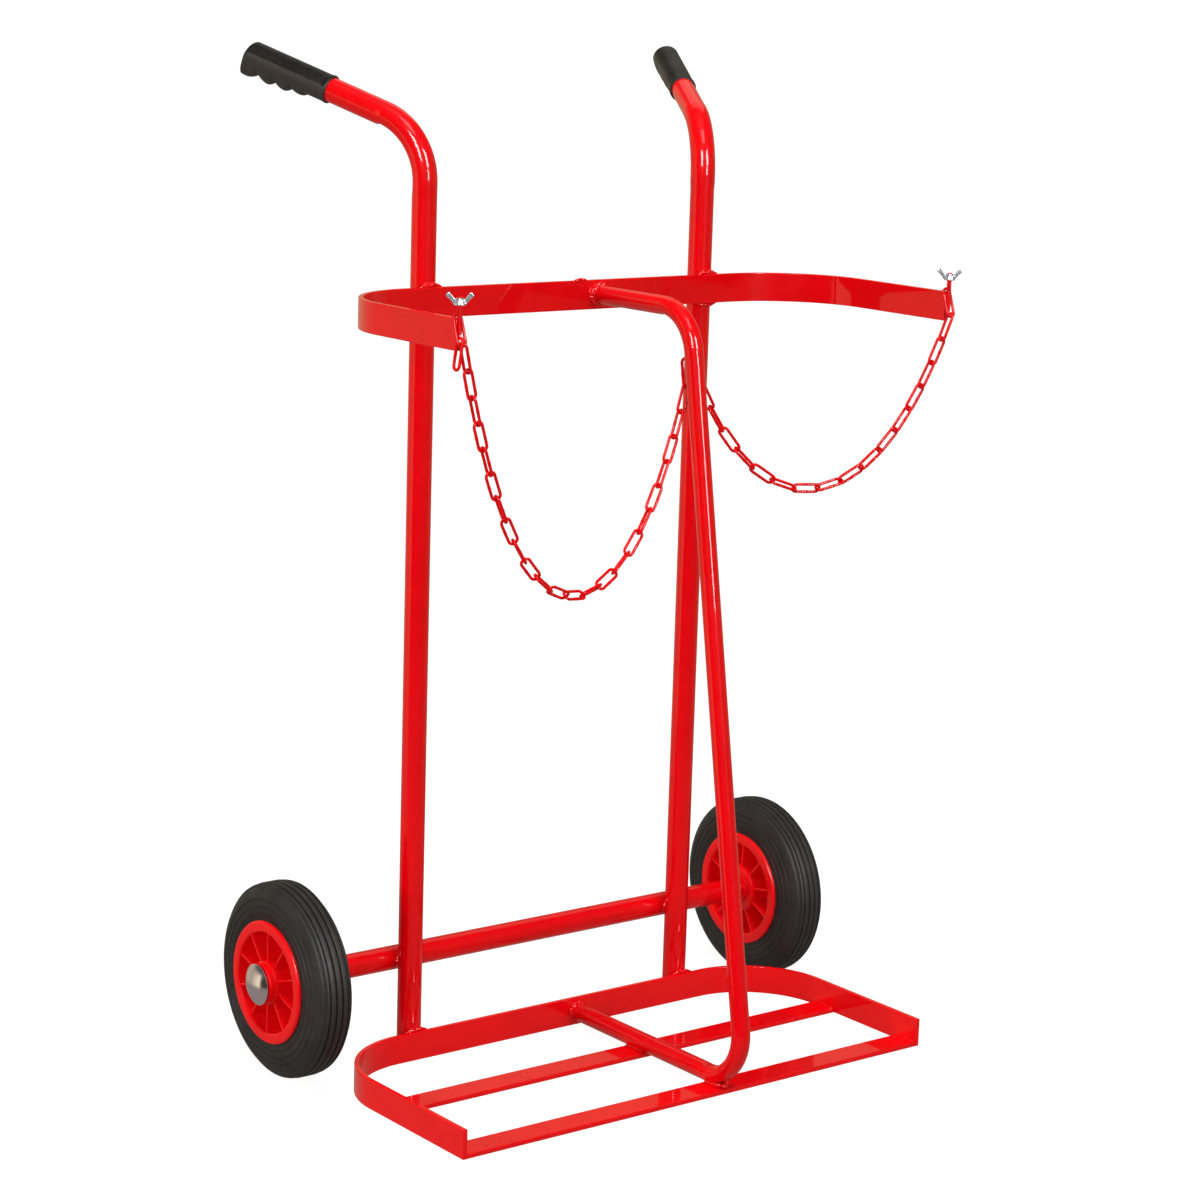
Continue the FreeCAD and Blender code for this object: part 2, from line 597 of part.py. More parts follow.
def hang(p0, p1, n):
    """Contact points of n equal links of the sheet's pitch hung from p0 to p1."""
    L = D["link_pitch"]
    dx = math.hypot(p1.x - p0.x, p1.y - p0.y)
    dz = p1.z - p0.z

    def ends(c, k):
        sx = sz = 0.0
        for i in range(n):
            t = math.atan((i + 0.5 - k) / c)
            sx += L * math.cos(t)
            sz += L * math.sin(t)
        return sx, sz

    def k_for(c):
        lo, hi = -40.0 * n, 41.0 * n
        for _ in range(80):
            m = (lo + hi) / 2
            if ends(c, m)[1] > dz:
                lo = m
            else:
                hi = m
        return (lo + hi) / 2

    lo, hi = 0.05, 200.0
    for _ in range(80):
        c = (lo + hi) / 2
        if ends(c, k_for(c))[0] < dx:
            lo = c
        else:
            hi = c
    c = (lo + hi) / 2
    k = k_for(c)
    ux, uy = (p1.x - p0.x) / dx, (p1.y - p0.y) / dx
    pts = [V(p0)]
    for i in range(n):
        t = math.atan((i + 0.5 - k) / c)
        pts.append(pts[-1] + V(ux * math.cos(t), uy * math.cos(t), math.sin(t)) * L)
    return pts


def add_links(name, placements):
    comp = [LINK.copy() for _ in placements]
    for sh, pl in zip(comp, placements):
        sh.Placement = pl
    f = doc.addObject("Part::Feature", name)
    f.Shape = comp[0] if len(comp) == 1 else Part.makeCompound(comp)
    f.Label = name
    made.append(f)
    nodes[name] = f
    return f


# link welded to the back of the divider by one of its long sides
tube_dir = V(0, -ss.v, -sc.v)                       # down along the divider's long leg
tube_back = V(0, sc.v, -ss.v)                       # square to it, towards the rear


def divider_axis(z):
    return V(D["divider_x"], -(D["divider_top_y"] + (D["divider_top"] - z) * lean.v / drop.v), z)


def anchor(az_deg, z):
    """Centre, outward direction and lower wire centre of a welded link."""
    a = math.radians(az_deg)
    e = (V(1, 0, 0) * math.sin(a) + tube_back * math.cos(a)).normalize()
    ctr = divider_axis(z) + e * (D["divider_od"] / 2 + WR + ARC)
    return ctr, e, ctr + tube_dir * HALF


STUD_LINKS, CHAINS, PLACES = {}, {}, {}
for side, s, az, z_anchor, n in (("left", -1, 0.0, 722.0, 23), ("right", 1, 53.0, 722.0, 16)):
    # link hooked over the stud: its back rests on the band, its front hangs
    top = V(s * D["stud_x"], -(D["stud_y"] - 4.4), D["top_bottom"] + D["bar_height"] + 2.45)
    low = top + V(0, -9.7, -27.5).normalize() * (2 * HALF)
    u = (low - top).normalize()
    hooked = link_at((top + low) * 0.5, u, V(1, 0, 0))
    add_links(side + "_stud_link", [hooked])
    ctr, e, hook = anchor(az, z_anchor)
    welded = link_at(ctr, tube_dir, e)
    add_links(side + "_anchor_link", [welded])
    # Each end link bears on the fixed link's end arc at the point where the arc
    # faces the chain's pull, 0.3 mm clear of it.
    n0, n1 = u.cross(V(1, 0, 0)), e.cross(tube_dir)
    arc0, arc1 = low - u * ARC, hook - tube_dir * ARC
    w0, w1 = V(low), V(hook)
    p0, p1 = V(low), V(hook)
    for _ in range(15):
        pts = hang(p0, p1, n)
        t0 = (pts[1] - pts[0]).normalize()
        t1 = (pts[-1] - pts[-2]).normalize()
        w0 = arc0 + (t0 - n0 * t0.dot(n0)).normalize() * ARC
        w1 = arc1 - (t1 - n1 * t1.dot(n1)).normalize() * ARC
        p0, p1 = w0 - t0 * (WR + 0.3), w1 + t1 * (WR + 0.3)
    pts = hang(p0, p1, n)
    hd = V(p1.x - p0.x, p1.y - p0.y, 0).normalize()
    nrm = hd.cross(V(0, 0, 1))                      # square to the chain's plane

    def roll_of(t, want):
        bi = t.cross(nrm)
        w = want - t * t.dot(want)
        return math.degrees(math.atan2(w.dot(bi), w.dot(nrm)))

    t0 = (pts[1] - pts[0]).normalize()
    t1 = (pts[-1] - pts[-2]).normalize()
    r0 = roll_of(t0, n0.cross(w0 - arc0).cross(t0))
    r1 = roll_of(t1, n1.cross(w1 - arc1).cross(t1))
    base_turn = 90.0 * (n - 1)
    extra = (r1 - r0 - base_turn + 90.0) % 180.0 - 90.0
    pls = []
    for i in range(n):
        t = (pts[i + 1] - pts[i]).normalize()
        roll = math.radians(r0 + i * (90.0 + extra / (n - 1)))
        w = nrm * math.cos(roll) + t.cross(nrm) * math.sin(roll)
        pls.append(link_at((pts[i] + pts[i + 1]) * 0.5, t, w))
    add_links(side + "_chain_links", pls)
    CHAINS[side] = (w0, w1)
    PLACES[side] = {"chain": pls, "stud": hooked, "anchor": welded}
    STUD_LINKS[side] = (top, low, u)
    print("chain", side, "swings about", [round(c, 3) for c in (w0 + V(0, SHIFT, 0))], [round(c, 3) for c in (w1 + V(0, SHIFT, 0))],
          "lowest", round(min(p.z for p in pts), 1), "twist per link", round(extra / (n - 1), 2))

# The spare link threads the left hooked link above the chain's first link and
# leans away from it.
lean_r = math.radians(D["spare_lean"])
hang_dir = V(-math.sin(lean_r), 0, -math.cos(lean_r))
add_links("left_spare_link", [link_at(V(D["spare_x"], D["spare_y"], D["spare_top"]) + hang_dir * HALF, hang_dir, V(0.0267, 1, 0))])

# ------------------------------------------------------------------ write out
doc.recompute()
bad = [o.Name for o in doc.Objects if ("Invalid" in o.State or "Error" in o.State)]
if bad:
    raise RuntimeError("failed objects: %s" % bad)
for name, o in nodes.items():
    if o.Shape.isNull() or not o.Shape.isValid() or o.Shape.Volume <= 0:
        raise RuntimeError("bad shape: " + name)
os.makedirs("parts", exist_ok=True)
for name, o in nodes.items():
    o.Shape.exportStep("parts/%s.step" % name)
box = None
for name, o in nodes.items():
    bb = o.Shape.BoundBox
    box = bb if box is None else box.united(bb)
    print("%-24s solids %2d vol %10.1f  x %.1f..%.1f y %.1f..%.1f z %.1f..%.1f" % (
        name, len(o.Shape.Solids), o.Shape.Volume, bb.XMin, bb.XMax, bb.YMin, bb.YMax, bb.ZMin, bb.ZMax))
print("nodes", len(nodes), "box", [round(v, 2) for v in (box.XMin, box.XMax, box.YMin, box.YMax, box.ZMin, box.ZMax)])
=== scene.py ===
import math

import bmesh
import bpy
import numpy as np
from mathutils import Matrix, Vector, noise


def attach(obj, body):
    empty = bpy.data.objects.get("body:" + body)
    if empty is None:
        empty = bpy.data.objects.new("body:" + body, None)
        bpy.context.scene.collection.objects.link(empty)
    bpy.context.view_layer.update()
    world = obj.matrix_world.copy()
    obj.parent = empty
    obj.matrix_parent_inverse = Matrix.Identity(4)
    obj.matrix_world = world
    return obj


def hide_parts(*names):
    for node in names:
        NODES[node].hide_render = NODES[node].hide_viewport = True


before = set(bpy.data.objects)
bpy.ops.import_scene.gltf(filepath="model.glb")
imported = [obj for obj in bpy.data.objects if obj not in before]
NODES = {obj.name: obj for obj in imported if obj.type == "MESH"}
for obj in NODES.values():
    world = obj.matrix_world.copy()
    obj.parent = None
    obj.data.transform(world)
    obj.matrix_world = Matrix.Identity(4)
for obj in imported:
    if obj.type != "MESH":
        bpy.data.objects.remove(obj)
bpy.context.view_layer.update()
scene = bpy.context.scene

# ------------------------------------------------------------------ camera
back = Vector((-0.6015, -0.7733, 0.2006)).normalized()
az, roll = math.radians(-37.88), math.radians(1.77)
right = Vector((math.cos(az), math.sin(az), 0.0))
up = back.cross(right)
cam_x = right * math.cos(roll) + up * math.sin(roll)
cam_y = up * math.cos(roll) - right * math.sin(roll)
cam_data = bpy.data.cameras.new("camera")
cam = bpy.data.objects.new("camera", cam_data)
scene.collection.objects.link(cam)
turn = Matrix((cam_x, cam_y, back)).transposed().to_4x4()
cam.matrix_world = Matrix.Translation((-1.9247, -2.4959, 1.1191)) @ turn
cam_data.lens = 93.97
cam_data.sensor_width = 36.0
cam_data.sensor_fit = "AUTO"
cam_data.clip_start, cam_data.clip_end = 0.05, 60.0
cam_data.dof.use_dof = False
scene.camera = cam

scene.view_settings.view_transform = "Standard"
scene.view_settings.look = "None"
scene.view_settings.exposure = 0.0
scene.view_settings.gamma = 1.0


# --------------------------------------------------------------- materials
class Paint:
    """A node material: the constants are set on the shader, the nodes add detail."""

    def __init__(self, name, **sockets):
        self.mat = bpy.data.materials.new(name)
        self.mat.use_nodes = True
        self.nt = self.mat.node_tree
        self.bsdf = self.nt.nodes["Principled BSDF"]
        self.coord = self.nt.nodes.new("ShaderNodeTexCoord")
        for key, value in sockets.items():
            self.bsdf.inputs[key.replace("_", " ")].default_value = value

    def link(self, a, b):
        self.nt.links.new(a, b)

    def noise(self, scale, detail=3.0, rough=0.55, stretch=None):
        n = self.nt.nodes.new("ShaderNodeTexNoise")
        n.inputs["Scale"].default_value = scale
        n.inputs["Detail"].default_value = detail
        n.inputs["Roughness"].default_value = rough
        if stretch:
            m = self.nt.nodes.new("ShaderNodeMapping")
            m.inputs["Scale"].default_value = stretch
            self.link(self.coord.outputs["Object"], m.inputs["Vector"])
            self.link(m.outputs["Vector"], n.inputs["Vector"])
        else:
            self.link(self.coord.outputs["Object"], n.inputs["Vector"])
        return n.outputs["Fac"]

    def cells(self, scale, feature="F1"):
        n = self.nt.nodes.new("ShaderNodeTexVoronoi")
        n.feature = feature
        n.inputs["Scale"].default_value = scale
        self.link(self.coord.outputs["Object"], n.inputs["Vector"])
        return n.outputs["Distance"]

    def ramp(self, fac, stops):
        r = self.nt.nodes.new("ShaderNodeValToRGB")
        el = r.color_ramp.elements
        while len(el) < len(stops):
            el.new(0.5)
        for e, (pos, col) in zip(el, stops):
            e.position = pos
            e.color = (*col, 1.0)
        self.link(fac, r.inputs["Fac"])
        return r.outputs["Color"]

    def spread(self, fac, lo, hi, a=0.3, b=0.7):
        m = self.nt.nodes.new("ShaderNodeMapRange")
        m.inputs["From Min"].default_value = a
        m.inputs["From Max"].default_value = b
        m.inputs["To Min"].default_value = lo
        m.inputs["To Max"].default_value = hi
        self.link(fac, m.inputs["Value"])
        return m.outputs["Result"]

    def mix(self, fac, a, b, blend="MIX", amount=None):
        m = self.nt.nodes.new("ShaderNodeMix")
        m.data_type = "RGBA"
        m.blend_type = blend
        if amount is None:
            self.link(fac, m.inputs["Factor"])
        else:
            m.inputs["Factor"].default_value = amount
        for sock, v in ((m.inputs["A"], a), (m.inputs["B"], b)):
            if isinstance(v, tuple):
                sock.default_value = (*v, 1.0)
            else:
                self.link(v, sock)
        return m.outputs["Result"]

    def maths(self, op, a, b):
        m = self.nt.nodes.new("ShaderNodeMath")
        m.operation = op
        for sock, v in ((m.inputs[0], a), (m.inputs[1], b)):
            if isinstance(v, (int, float)):
                sock.default_value = v
            else:
                self.link(v, sock)
        return m.outputs[0]

    def colour(self, sock):
        self.link(sock, self.bsdf.inputs["Base Color"])

    def rough(self, sock):
        self.link(sock, self.bsdf.inputs["Roughness"])

    def bumps(self, *layers):
        """(height socket, strength, distance in metres), finest last."""
        prev = None
        for h, strength, dist in layers:
            b = self.nt.nodes.new("ShaderNodeBump")
            b.inputs["Strength"].default_value = strength
            b.inputs["Distance"].default_value = dist
            self.link(h, b.inputs["Height"])
            if prev is not None:
                self.link(prev, b.inputs["Normal"])
            prev = b.outputs["Normal"]
        self.link(prev, self.bsdf.inputs["Normal"])


def grey(v):
    return (v, v, v)


def powder_red(name, coat, rough_lo, rough_hi, peel, painted_light_gain=1.0):
    """Sprayed red enamel: slight pooling of the colour, faint orange peel, dust specks; the last argument scales the
    red up as painted light.
    """
    p = Paint(name, Specular_IOR_Level=0.05, Coat_Weight=coat, Coat_Roughness=0.03, Coat_IOR=1.45)
    pool = p.noise(38.0, 4.0)
    base = p.ramp(pool, [(0.30, (0.735 * painted_light_gain, 0.0004, 0.0030)), (0.50, (0.765 * painted_light_gain, 0.0006, 0.0036)), (0.72, (0.79 * painted_light_gain, 0.0010, 0.0042))])
    speck = p.cells(900.0)
    dust = p.ramp(speck, [(0.0, (1.0, 1.0, 1.0)), (0.035, (1.0, 1.0, 1.0)), (0.06, (0.0, 0.0, 0.0))])
    rare = p.ramp(p.noise(95.0, 2.0), [(0.60, (0.0, 0.0, 0.0)), (0.68, (1.0, 1.0, 1.0))])
    both = p.maths("MULTIPLY", dust, rare)
    p.colour(p.mix(p.maths("MULTIPLY", both, 0.05), base, (0.62, 0.004, 0.006)))
    p.rough(p.spread(p.noise(55.0, 5.0), rough_lo, rough_hi))
    p.bumps((p.noise(210.0, 2.0), peel, 0.00035), (p.noise(640.0, 2.0), peel * 0.8, 0.00012), (both, 0.02, 0.00004))
    return p.mat


def plastic_red(name):
    """Injection-moulded red plastic: smooth, slightly cloudy, faint flow marks."""
    p = Paint(name, Specular_IOR_Level=0.16, Coat_Weight=0.22, Coat_Roughness=0.08, Subsurface_Weight=0.0)
    cloud = p.noise(30.0, 4.0)
    p.colour(p.ramp(cloud, [(0.30, (0.84, 0.0022, 0.0050)), (0.55, (0.88, 0.0030, 0.0066)), (0.75, (0.92, 0.0042, 0.0088))]))
    p.rough(p.spread(p.noise(70.0, 4.0), 0.17, 0.29))
    p.bumps((p.noise(150.0, 3.0), 0.10, 0.0003), (p.noise(900.0, 2.0), 0.10, 0.00006))
    return p.mat


def rubber(name):
    """Solid rubber: dull black, dusty bloom on the raised parts, fine pores, moulding grain."""
    p = Paint(name, Specular_IOR_Level=0.36)
    base = p.ramp(p.noise(26.0, 5.0), [(0.28, (0.0140, 0.0125, 0.0128)), (0.5, (0.0185, 0.0166, 0.0168)), (0.74, (0.027, 0.0245, 0.0245))])
    fleck = p.ramp(p.noise(1300.0, 2.0, 0.7), [(0.60, grey(0.0)), (0.70, grey(1.0))])
    where = p.spread(p.noise(48.0, 3.0), 0.0, 0.55, 0.42, 0.72)
    p.colour(p.mix(p.maths("MULTIPLY", fleck, where), base, (0.062, 0.057, 0.053)))
    p.rough(p.spread(p.noise(160.0, 5.0), 0.50, 0.66))
    p.bumps((p.noise(120.0, 4.0), 0.12, 0.0005), (p.noise(1100.0, 3.0, 0.7), 0.32, 0.00018))
    return p.mat


def grip_vinyl(name):
    """Soft black vinyl: satin, fine leathery stipple, fingermarks in the sheen; faces not turned upward are painted
    greyer, painted light keyed to their facing.
    """
    p = Paint(name, Specular_IOR_Level=0.34)
    top = p.ramp(p.noise(60.0, 5.0), [(0.30, (0.0050, 0.0044, 0.0042)), (0.55, (0.0070, 0.0062, 0.0060)), (0.75, (0.0100, 0.0088, 0.0084))])
    # Painted light: the world-space normal picks the faces that don't face up, and those get a greyer colour.
    geo, sep = p.nt.nodes.new("ShaderNodeNewGeometry"), p.nt.nodes.new("ShaderNodeSeparateXYZ")
    p.link(geo.outputs["Normal"], sep.inputs[0])
    painted_light_mask = p.ramp(sep.outputs["Z"], [(0.0, grey(1.0)), (0.225, grey(1.0)), (0.275, grey(0.0))])
    p.colour(p.mix(painted_light_mask, top, (0.036, 0.031, 0.029)))
    p.rough(p.spread(p.noise(45.0, 5.0), 0.38, 0.52))
    p.bumps((p.noise(180.0, 3.0), 0.10, 0.0004), (p.cells(1500.0), 0.22, 0.00012))
    return p.mat


def zinc(name):
    """Bright zinc plate: bluish metal with a crystalline mottle and fine scratches."""
    p = Paint(name, Metallic=0.80, Specular_IOR_Level=0.6)
    fac = p.noise(420.0, 4.0)
    p.colour(p.ramp(fac, [(0.30, (0.48, 0.51, 0.58)), (0.50, (0.60, 0.63, 0.69)), (0.72, (0.72, 0.74, 0.78))]))
    p.rough(p.spread(p.noise(800.0, 5.0), 0.20, 0.32))
    p.bumps((p.cells(900.0), 0.06, 0.00006), (p.noise(2600.0, 3.0), 0.05, 0.00003))
    return p.mat


def chrome(name):
    """Pressed cap: plated steel, drawing marks round the dome, light handling marks."""
    p = Paint(name, Metallic=1.0)
    fac = p.noise(50.0, 4.0)
    p.colour(p.ramp(fac, [(0.30, (0.68, 0.61, 0.69)), (0.55, (0.76, 0.69, 0.79)), (0.78, (0.82, 0.76, 0.86))]))
    p.rough(p.spread(p.noise(180.0, 5.0), 0.13, 0.24))
    p.bumps((p.noise(90.0, 3.0), 0.06, 0.0004), (p.noise(700.0, 3.0, 0.6, (1.0, 0.25, 0.25)), 0.05, 0.00005))
    return p.mat


def steel(name):
    """Turned bright steel: grain runs round the bar, light rust-brown staining."""
    p = Paint(name, Metallic=1.0)
    grain = p.noise(900.0, 4.0, 0.6, (0.06, 1.0, 1.0))
    stain = p.noise(140.0, 5.0)
    metal = p.ramp(grain, [(0.3, (0.42, 0.41, 0.40)), (0.7, (0.60, 0.59, 0.57))])
    p.colour(p.mix(p.spread(stain, 0.0, 0.5, 0.55, 0.8), metal, (0.22, 0.16, 0.11)))
    p.rough(p.spread(grain, 0.22, 0.40))
    p.bumps((grain, 0.10, 0.00006))
    return p.mat


def nylon(name):
    """Moulded nylon: warm off-white, slightly mottled, fine grain."""
    p = Paint(name, Specular_IOR_Level=0.5, Subsurface_Weight=0.0)
    p.colour(p.ramp(p.noise(120.0, 4.0), [(0.3, (0.55, 0.50, 0.40)), (0.7, (0.68, 0.63, 0.53))]))
    p.rough(p.spread(p.noise(260.0, 4.0), 0.38, 0.52))
    p.bumps((p.noise(800.0, 3.0), 0.12, 0.00008))
    return p.mat


RED = powder_red("red_enamel", 0.80, 0.26, 0.36, 0.005)
# Brighter copy of the same red for the base bars and slats: painted light standing in for light the low parts lack.
BASE_RED_PAINTED_LIGHT = powder_red("red_enamel_base_painted_light", 0.80, 0.26, 0.36, 0.005, 1.14)
CHAIN_RED = powder_red("red_enamel_chain", 0.42, 0.26, 0.38, 0.05)
WELD_RED = powder_red("red_enamel_weld", 1.0, 0.16, 0.26, 0.06)
RIM = plastic_red("moulded_red")
RUBBER = rubber("solid_rubber")
GRIP = grip_vinyl("black_vinyl")
ZINC = zinc("bright_zinc")
CHROME = chrome("plated_cap")
STEEL = steel("bright_steel")
NYLON = nylon("cage_nylon")

# ---------------------------------------------------------------- geometry
# Shapes are worked out in millimetres from the uprights' centre plane, as in
# the CAD, and moved SHIFT back when they become Blender meshes.
SHIFT = 51.915


def W(p):
    return (p[0] * 0.001, (p[1] + SHIFT) * 0.001, p[2] * 0.001)


class Shell:
    """Vertices and faces of one piece, in millimetres."""

    def __init__(self):
        self.v, self.f = [], []

    def rows(self, rows, around=True, along=False, cap0=False, cap1=False):
        base, n, m = len(self.v), len(rows[0]), len(rows)
        for r in rows:
            self.v.extend([tuple(p) for p in r])
        for i in range(m if along else m - 1):
            a, b = base + i * n, base + ((i + 1) % m) * n
            for j in range(n if around else n - 1):
                k = (j + 1) % n
                self.f.append((a + j, a + k, b + k, b + j))
        if cap0:
            self.f.append(tuple(base + j for j in reversed(range(n))))
        if cap1:
            self.f.append(tuple(base + (m - 1) * n + j for j in range(n)))
        return self

    def plate(self, pts, lift):
        """Flat outline pts extruded by the vector lift, open edges closed."""
        lift = Vector(lift)
        a = [Vector(p) - lift / 2 for p in pts]
        b = [Vector(p) + lift / 2 for p in pts]
        return self.rows([a, b], cap0=True, cap1=True)


def mesh_of(name, shell, sharp=35.0):
    me = bpy.data.meshes.new(name)
    me.from_pydata([W(p) for p in shell.v], [], shell.f)
    bm = bmesh.new()
    bm.from_mesh(me)
    bmesh.ops.remove_doubles(bm, verts=bm.verts, dist=2e-6)
    bmesh.ops.dissolve_degenerate(bm, edges=bm.edges, dist=1e-6)
    bmesh.ops.recalc_face_normals(bm, faces=bm.faces)
    bm.to_mesh(me)
    bm.free()
    me.polygons.foreach_set("use_smooth", [True] * len(me.polygons))
    me.set_sharp_from_angle(angle=math.radians(sharp))
    return me


def piece(name, me, mat, body, replaces=()):
    ob = bpy.data.objects.new(name, me)
    scene.collection.objects.link(ob)
    me.materials.clear()
    me.materials.append(mat)
    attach(ob, body)
    if replaces:
        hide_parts(*replaces)
    return ob


def baked(ob, name):
    """The mesh of ob with its modifiers applied; ob itself is removed."""
    bpy.context.view_layer.update()
    dg = bpy.context.evaluated_depsgraph_get()
    me = bpy.data.meshes.new_from_object(ob.evaluated_get(dg))
    me.name = name
    old = ob.data
    bpy.data.objects.remove(ob)
    if old.users == 0:
        bpy.data.meshes.remove(old)
    return me


def smoothstep(a, b, x):
    if a == b:
        return 1.0 if x >= a else 0.0
    t = min(1.0, max(0.0, (x - a) / (b - a)))
    return t * t * (3 - 2 * t)


# ------------------------------------------------------------------- tubes
def route(pts, radii, ramps):
    """Stations along runs and arcs: position, tangent, inward side, flattening."""
    pts = [Vector(p) for p in pts]
    corners = []
    for i in range(1, len(pts) - 1):
        t1, t2 = (pts[i] - pts[i - 1]).normalized(), (pts[i + 1] - pts[i]).normalized()
        ang = t1.angle(t2)
        r = radii[i - 1]
        tang = r * math.tan(ang / 2)
        inn = (t2 - t1 * t1.dot(t2)).normalized()
        a = pts[i] - t1 * tang
        corners.append((a, pts[i] + t2 * tang, a + inn * r, r, ang, t1, inn))
    length, spans, cur = 0.0, [], pts[0]
    for a, b, c, r, ang, t1, inn in corners:
        spans.append(("run", length, cur, t1, inn, (a - cur).length))
        length += (a - cur).length
        spans.append(("arc", length, c, t1, inn, r, ang))
        length += r * ang
        cur = b
    last = corners[-1]
    spans.append(("run", length, cur, (pts[-1] - cur).normalized(), None, (pts[-1] - cur).length))
    total = length + (pts[-1] - cur).length
    arcs = [(s[1], s[1] + s[5] * s[6]) for s in spans if s[0] == "arc"]

    def flat(s):
        w = 0.0
        for (a, b), (r0, r1, r2, r3) in zip(arcs, ramps):
            w = max(w, smoothstep(a + r0, a + r1, s) * (1.0 - smoothstep(b + r2, b + r3, s)))
        return w

    marks = {0.0, 0.4, total - 0.4, total}
    for (a, b), (r0, r1, r2, r3) in zip(arcs, ramps):
        n = max(12, int((b - a) / 2.2))
        for k in range(n + 1):
            marks.add(a + (b - a) * k / n)
        for lo, hi in ((a + r0, a + r1), (b + r2, b + r3)):
            for k in range(9):
                marks.add(lo + (hi - lo) * k / 8)
    marks = sorted(m for m in marks if 0 <= m <= total)
    keep = [marks[0]]
    for m in marks[1:]:
        if m - keep[-1] > 0.25:
            keep.append(m)
    keep[-1] = total
    out, inn_prev = [], corners[0][6]
    for s in keep:
        for sp in spans:
            end = sp[1] + (sp[5] if sp[0] == "run" else sp[5] * sp[6])
            if s <= end + 1e-6 or sp is spans[-1]:
                break
        if sp[0] == "run":
            inn = sp[4]
            if inn is None:
                t1, ang, i0 = last[5], last[4], last[6]
                inn = i0 * math.cos(ang) - t1 * math.sin(ang)
            else:
                inn = inn
            out.append((sp[2] + sp[3] * (s - sp[1]), sp[3], inn, flat(s)))
        else:
            _, s0, c, t1, i0, r, ang = sp
            a = (s - s0) / r
            t = t1 * math.cos(a) + i0 * math.sin(a)
            n = i0 * math.cos(a) - t1 * math.sin(a)
            out.append((c - n * r, t, n, flat(s)))
    return out, total


def tube_rings(stations, R, sides, depth, swell=0.035, trim=0.0):
    """Rings of a bent tube; the inside of each bend is flattened by depth."""
    rings = []
    n = len(stations)
    for i, (p, t, inn, w) in enumerate(stations):
        side = t.cross(inn)
        rr = R - (trim if i in (0, n - 1) else 0.0)
        ring = []
        lim, k = rr - depth, 0.75
        for j in range(sides):
            th = 2 * math.pi * j / sides
            a, b = rr * math.cos(th), rr * math.sin(th)
            if w > 0:
                x = (a - lim) / k
                soft = a - k * (math.log1p(math.exp(x)) if x < 30 else x)
                a = a + (soft - a) * w
                b = b * (1 + swell * w)
            ring.append(p + inn * a + side * b)
        rings.append(ring)
    return rings


def bent_tube(pts, radii, ramps, R, bore, depth, sides=56):
    st, total = route(pts, radii, ramps)
    outer = tube_rings(st, R, sides, depth, trim=0.35)
    inner = tube_rings(st, bore, sides, depth)
    return Shell().rows(outer + inner[::-1], along=True)


for side, s in (("left", -1), ("right", 1)):
    ph, ep = math.radians(26.3), math.radians(18.5)
    d = Vector((s * math.sin(ph) * math.cos(ep), math.cos(ph) * math.cos(ep), math.sin(ep)))
    v = Vector((s * 176.0, 0.0, 948.0))
    sh = bent_tube([(v.x, 0, 2.0), v, v + d * 205.6], [68.0], [(-14.0, -4.0, -1.5, 4.5)], 12.5, 10.5, 2.6)
    piece(side + "_upright_tube", mesh_of(side + "_upright_tube", sh), RED, "frame", [side + "_upright"])

sh = bent_tube([(30.0, -17.5, 783.0), (30.0, -166.6, 783.0), (30.0, -295.4, 14.5), (30.0, -17.5, 14.5)],
               [50.0, 50.0], [(-2.5, 3.0, -3.0, 13.0), (-12.0, 3.0, -2.0, 5.0)], 9.5, 8.0, 1.7, 48)
piece("divider_bent_tube", mesh_of("divider_bent_tube", sh), RED, "frame", ["divider_tube"])

# axle tube: plain tube with turned ends
prof = [(-282.0, 10.4), (-281.6, 10.1), (281.6, 10.1), (282.0, 10.4), (282.0, 12.0), (281.5, 12.5), (-281.5, 12.5), (-282.0, 12.0)]


def turned(profile, centre, s, n=96, phase=0.0):
    """Closed profile (outwards along the axle, radius) turned about the axle line."""
    rows = []
    for x, r in profile:
        rows.append([(centre[0] + s * x, centre[1] + r * math.cos(2 * math.pi * j / n + phase),
                      centre[2] + r * math.sin(2 * math.pi * j / n + phase)) for j in range(n)])
    return Shell().rows(rows, along=True)


piece("axle_cross_tube", mesh_of("axle_cross_tube", turned(prof, (0, 25.0, 100.0), 1, 56)), RED, "frame", ["axle_tube"])


# ---------------------------------------------------------- bands and slats
def bar_section(t, h, r, k=4):
    """Rounded rectangle, thickness t by height h, with support points by each corner."""
    pts = []
    for sx, sy, a0 in ((1, 1, 0), (-1, 1, 90), (-1, -1, 180), (1, -1, 270)):
        cx, cy = sx * (t / 2 - r), sy * (h / 2 - r)
        arc = []
        for i in range(k + 1):
            a = math.radians(a0 + 90.0 * i / k)
            arc.append((cx + r * math.cos(a), cy + r * math.sin(a)))
        lead = {0: (0, -0.2), 90: (0.2, 0), 180: (0, 0.2), 270: (-0.2, 0)}[a0]
        tail = {0: (-0.2, 0), 90: (0, -0.2), 180: (0.2, 0), 270: (0, 0.2)}[a0]
        pts.append((arc[0][0] + lead[0], arc[0][1] + lead[1]))
        pts += arc
        pts.append((arc[-1][0] + tail[0], arc[-1][1] + tail[1]))
    return pts


def bar_rows(stations, t, h, r):
    """stations: (point, outward unit vector, along unit vector); ends get a small chamfer."""
    full = bar_section(t, h, r)
    small = bar_section(t - 0.7, h - 0.7, max(r - 0.3, 0.2))
    rows = []
    for i, (p, o, al) in enumerate(stations):
        end = i in (0, len(stations) - 1)
        if i == 0:
            rows.append([p + o * x + Vector((0, 0, y)) for x, y in small])
            rows.append([p + al * 0.35 + o * x + Vector((0, 0, y)) for x, y in full])
        elif end:
            rows.append([p - al * 0.35 + o * x + Vector((0, 0, y)) for x, y in full])
            rows.append([p + o * x + Vector((0, 0, y)) for x, y in small])
        else:
            rows.append([p + o * x + Vector((0, 0, y)) for x, y in full])
    return rows


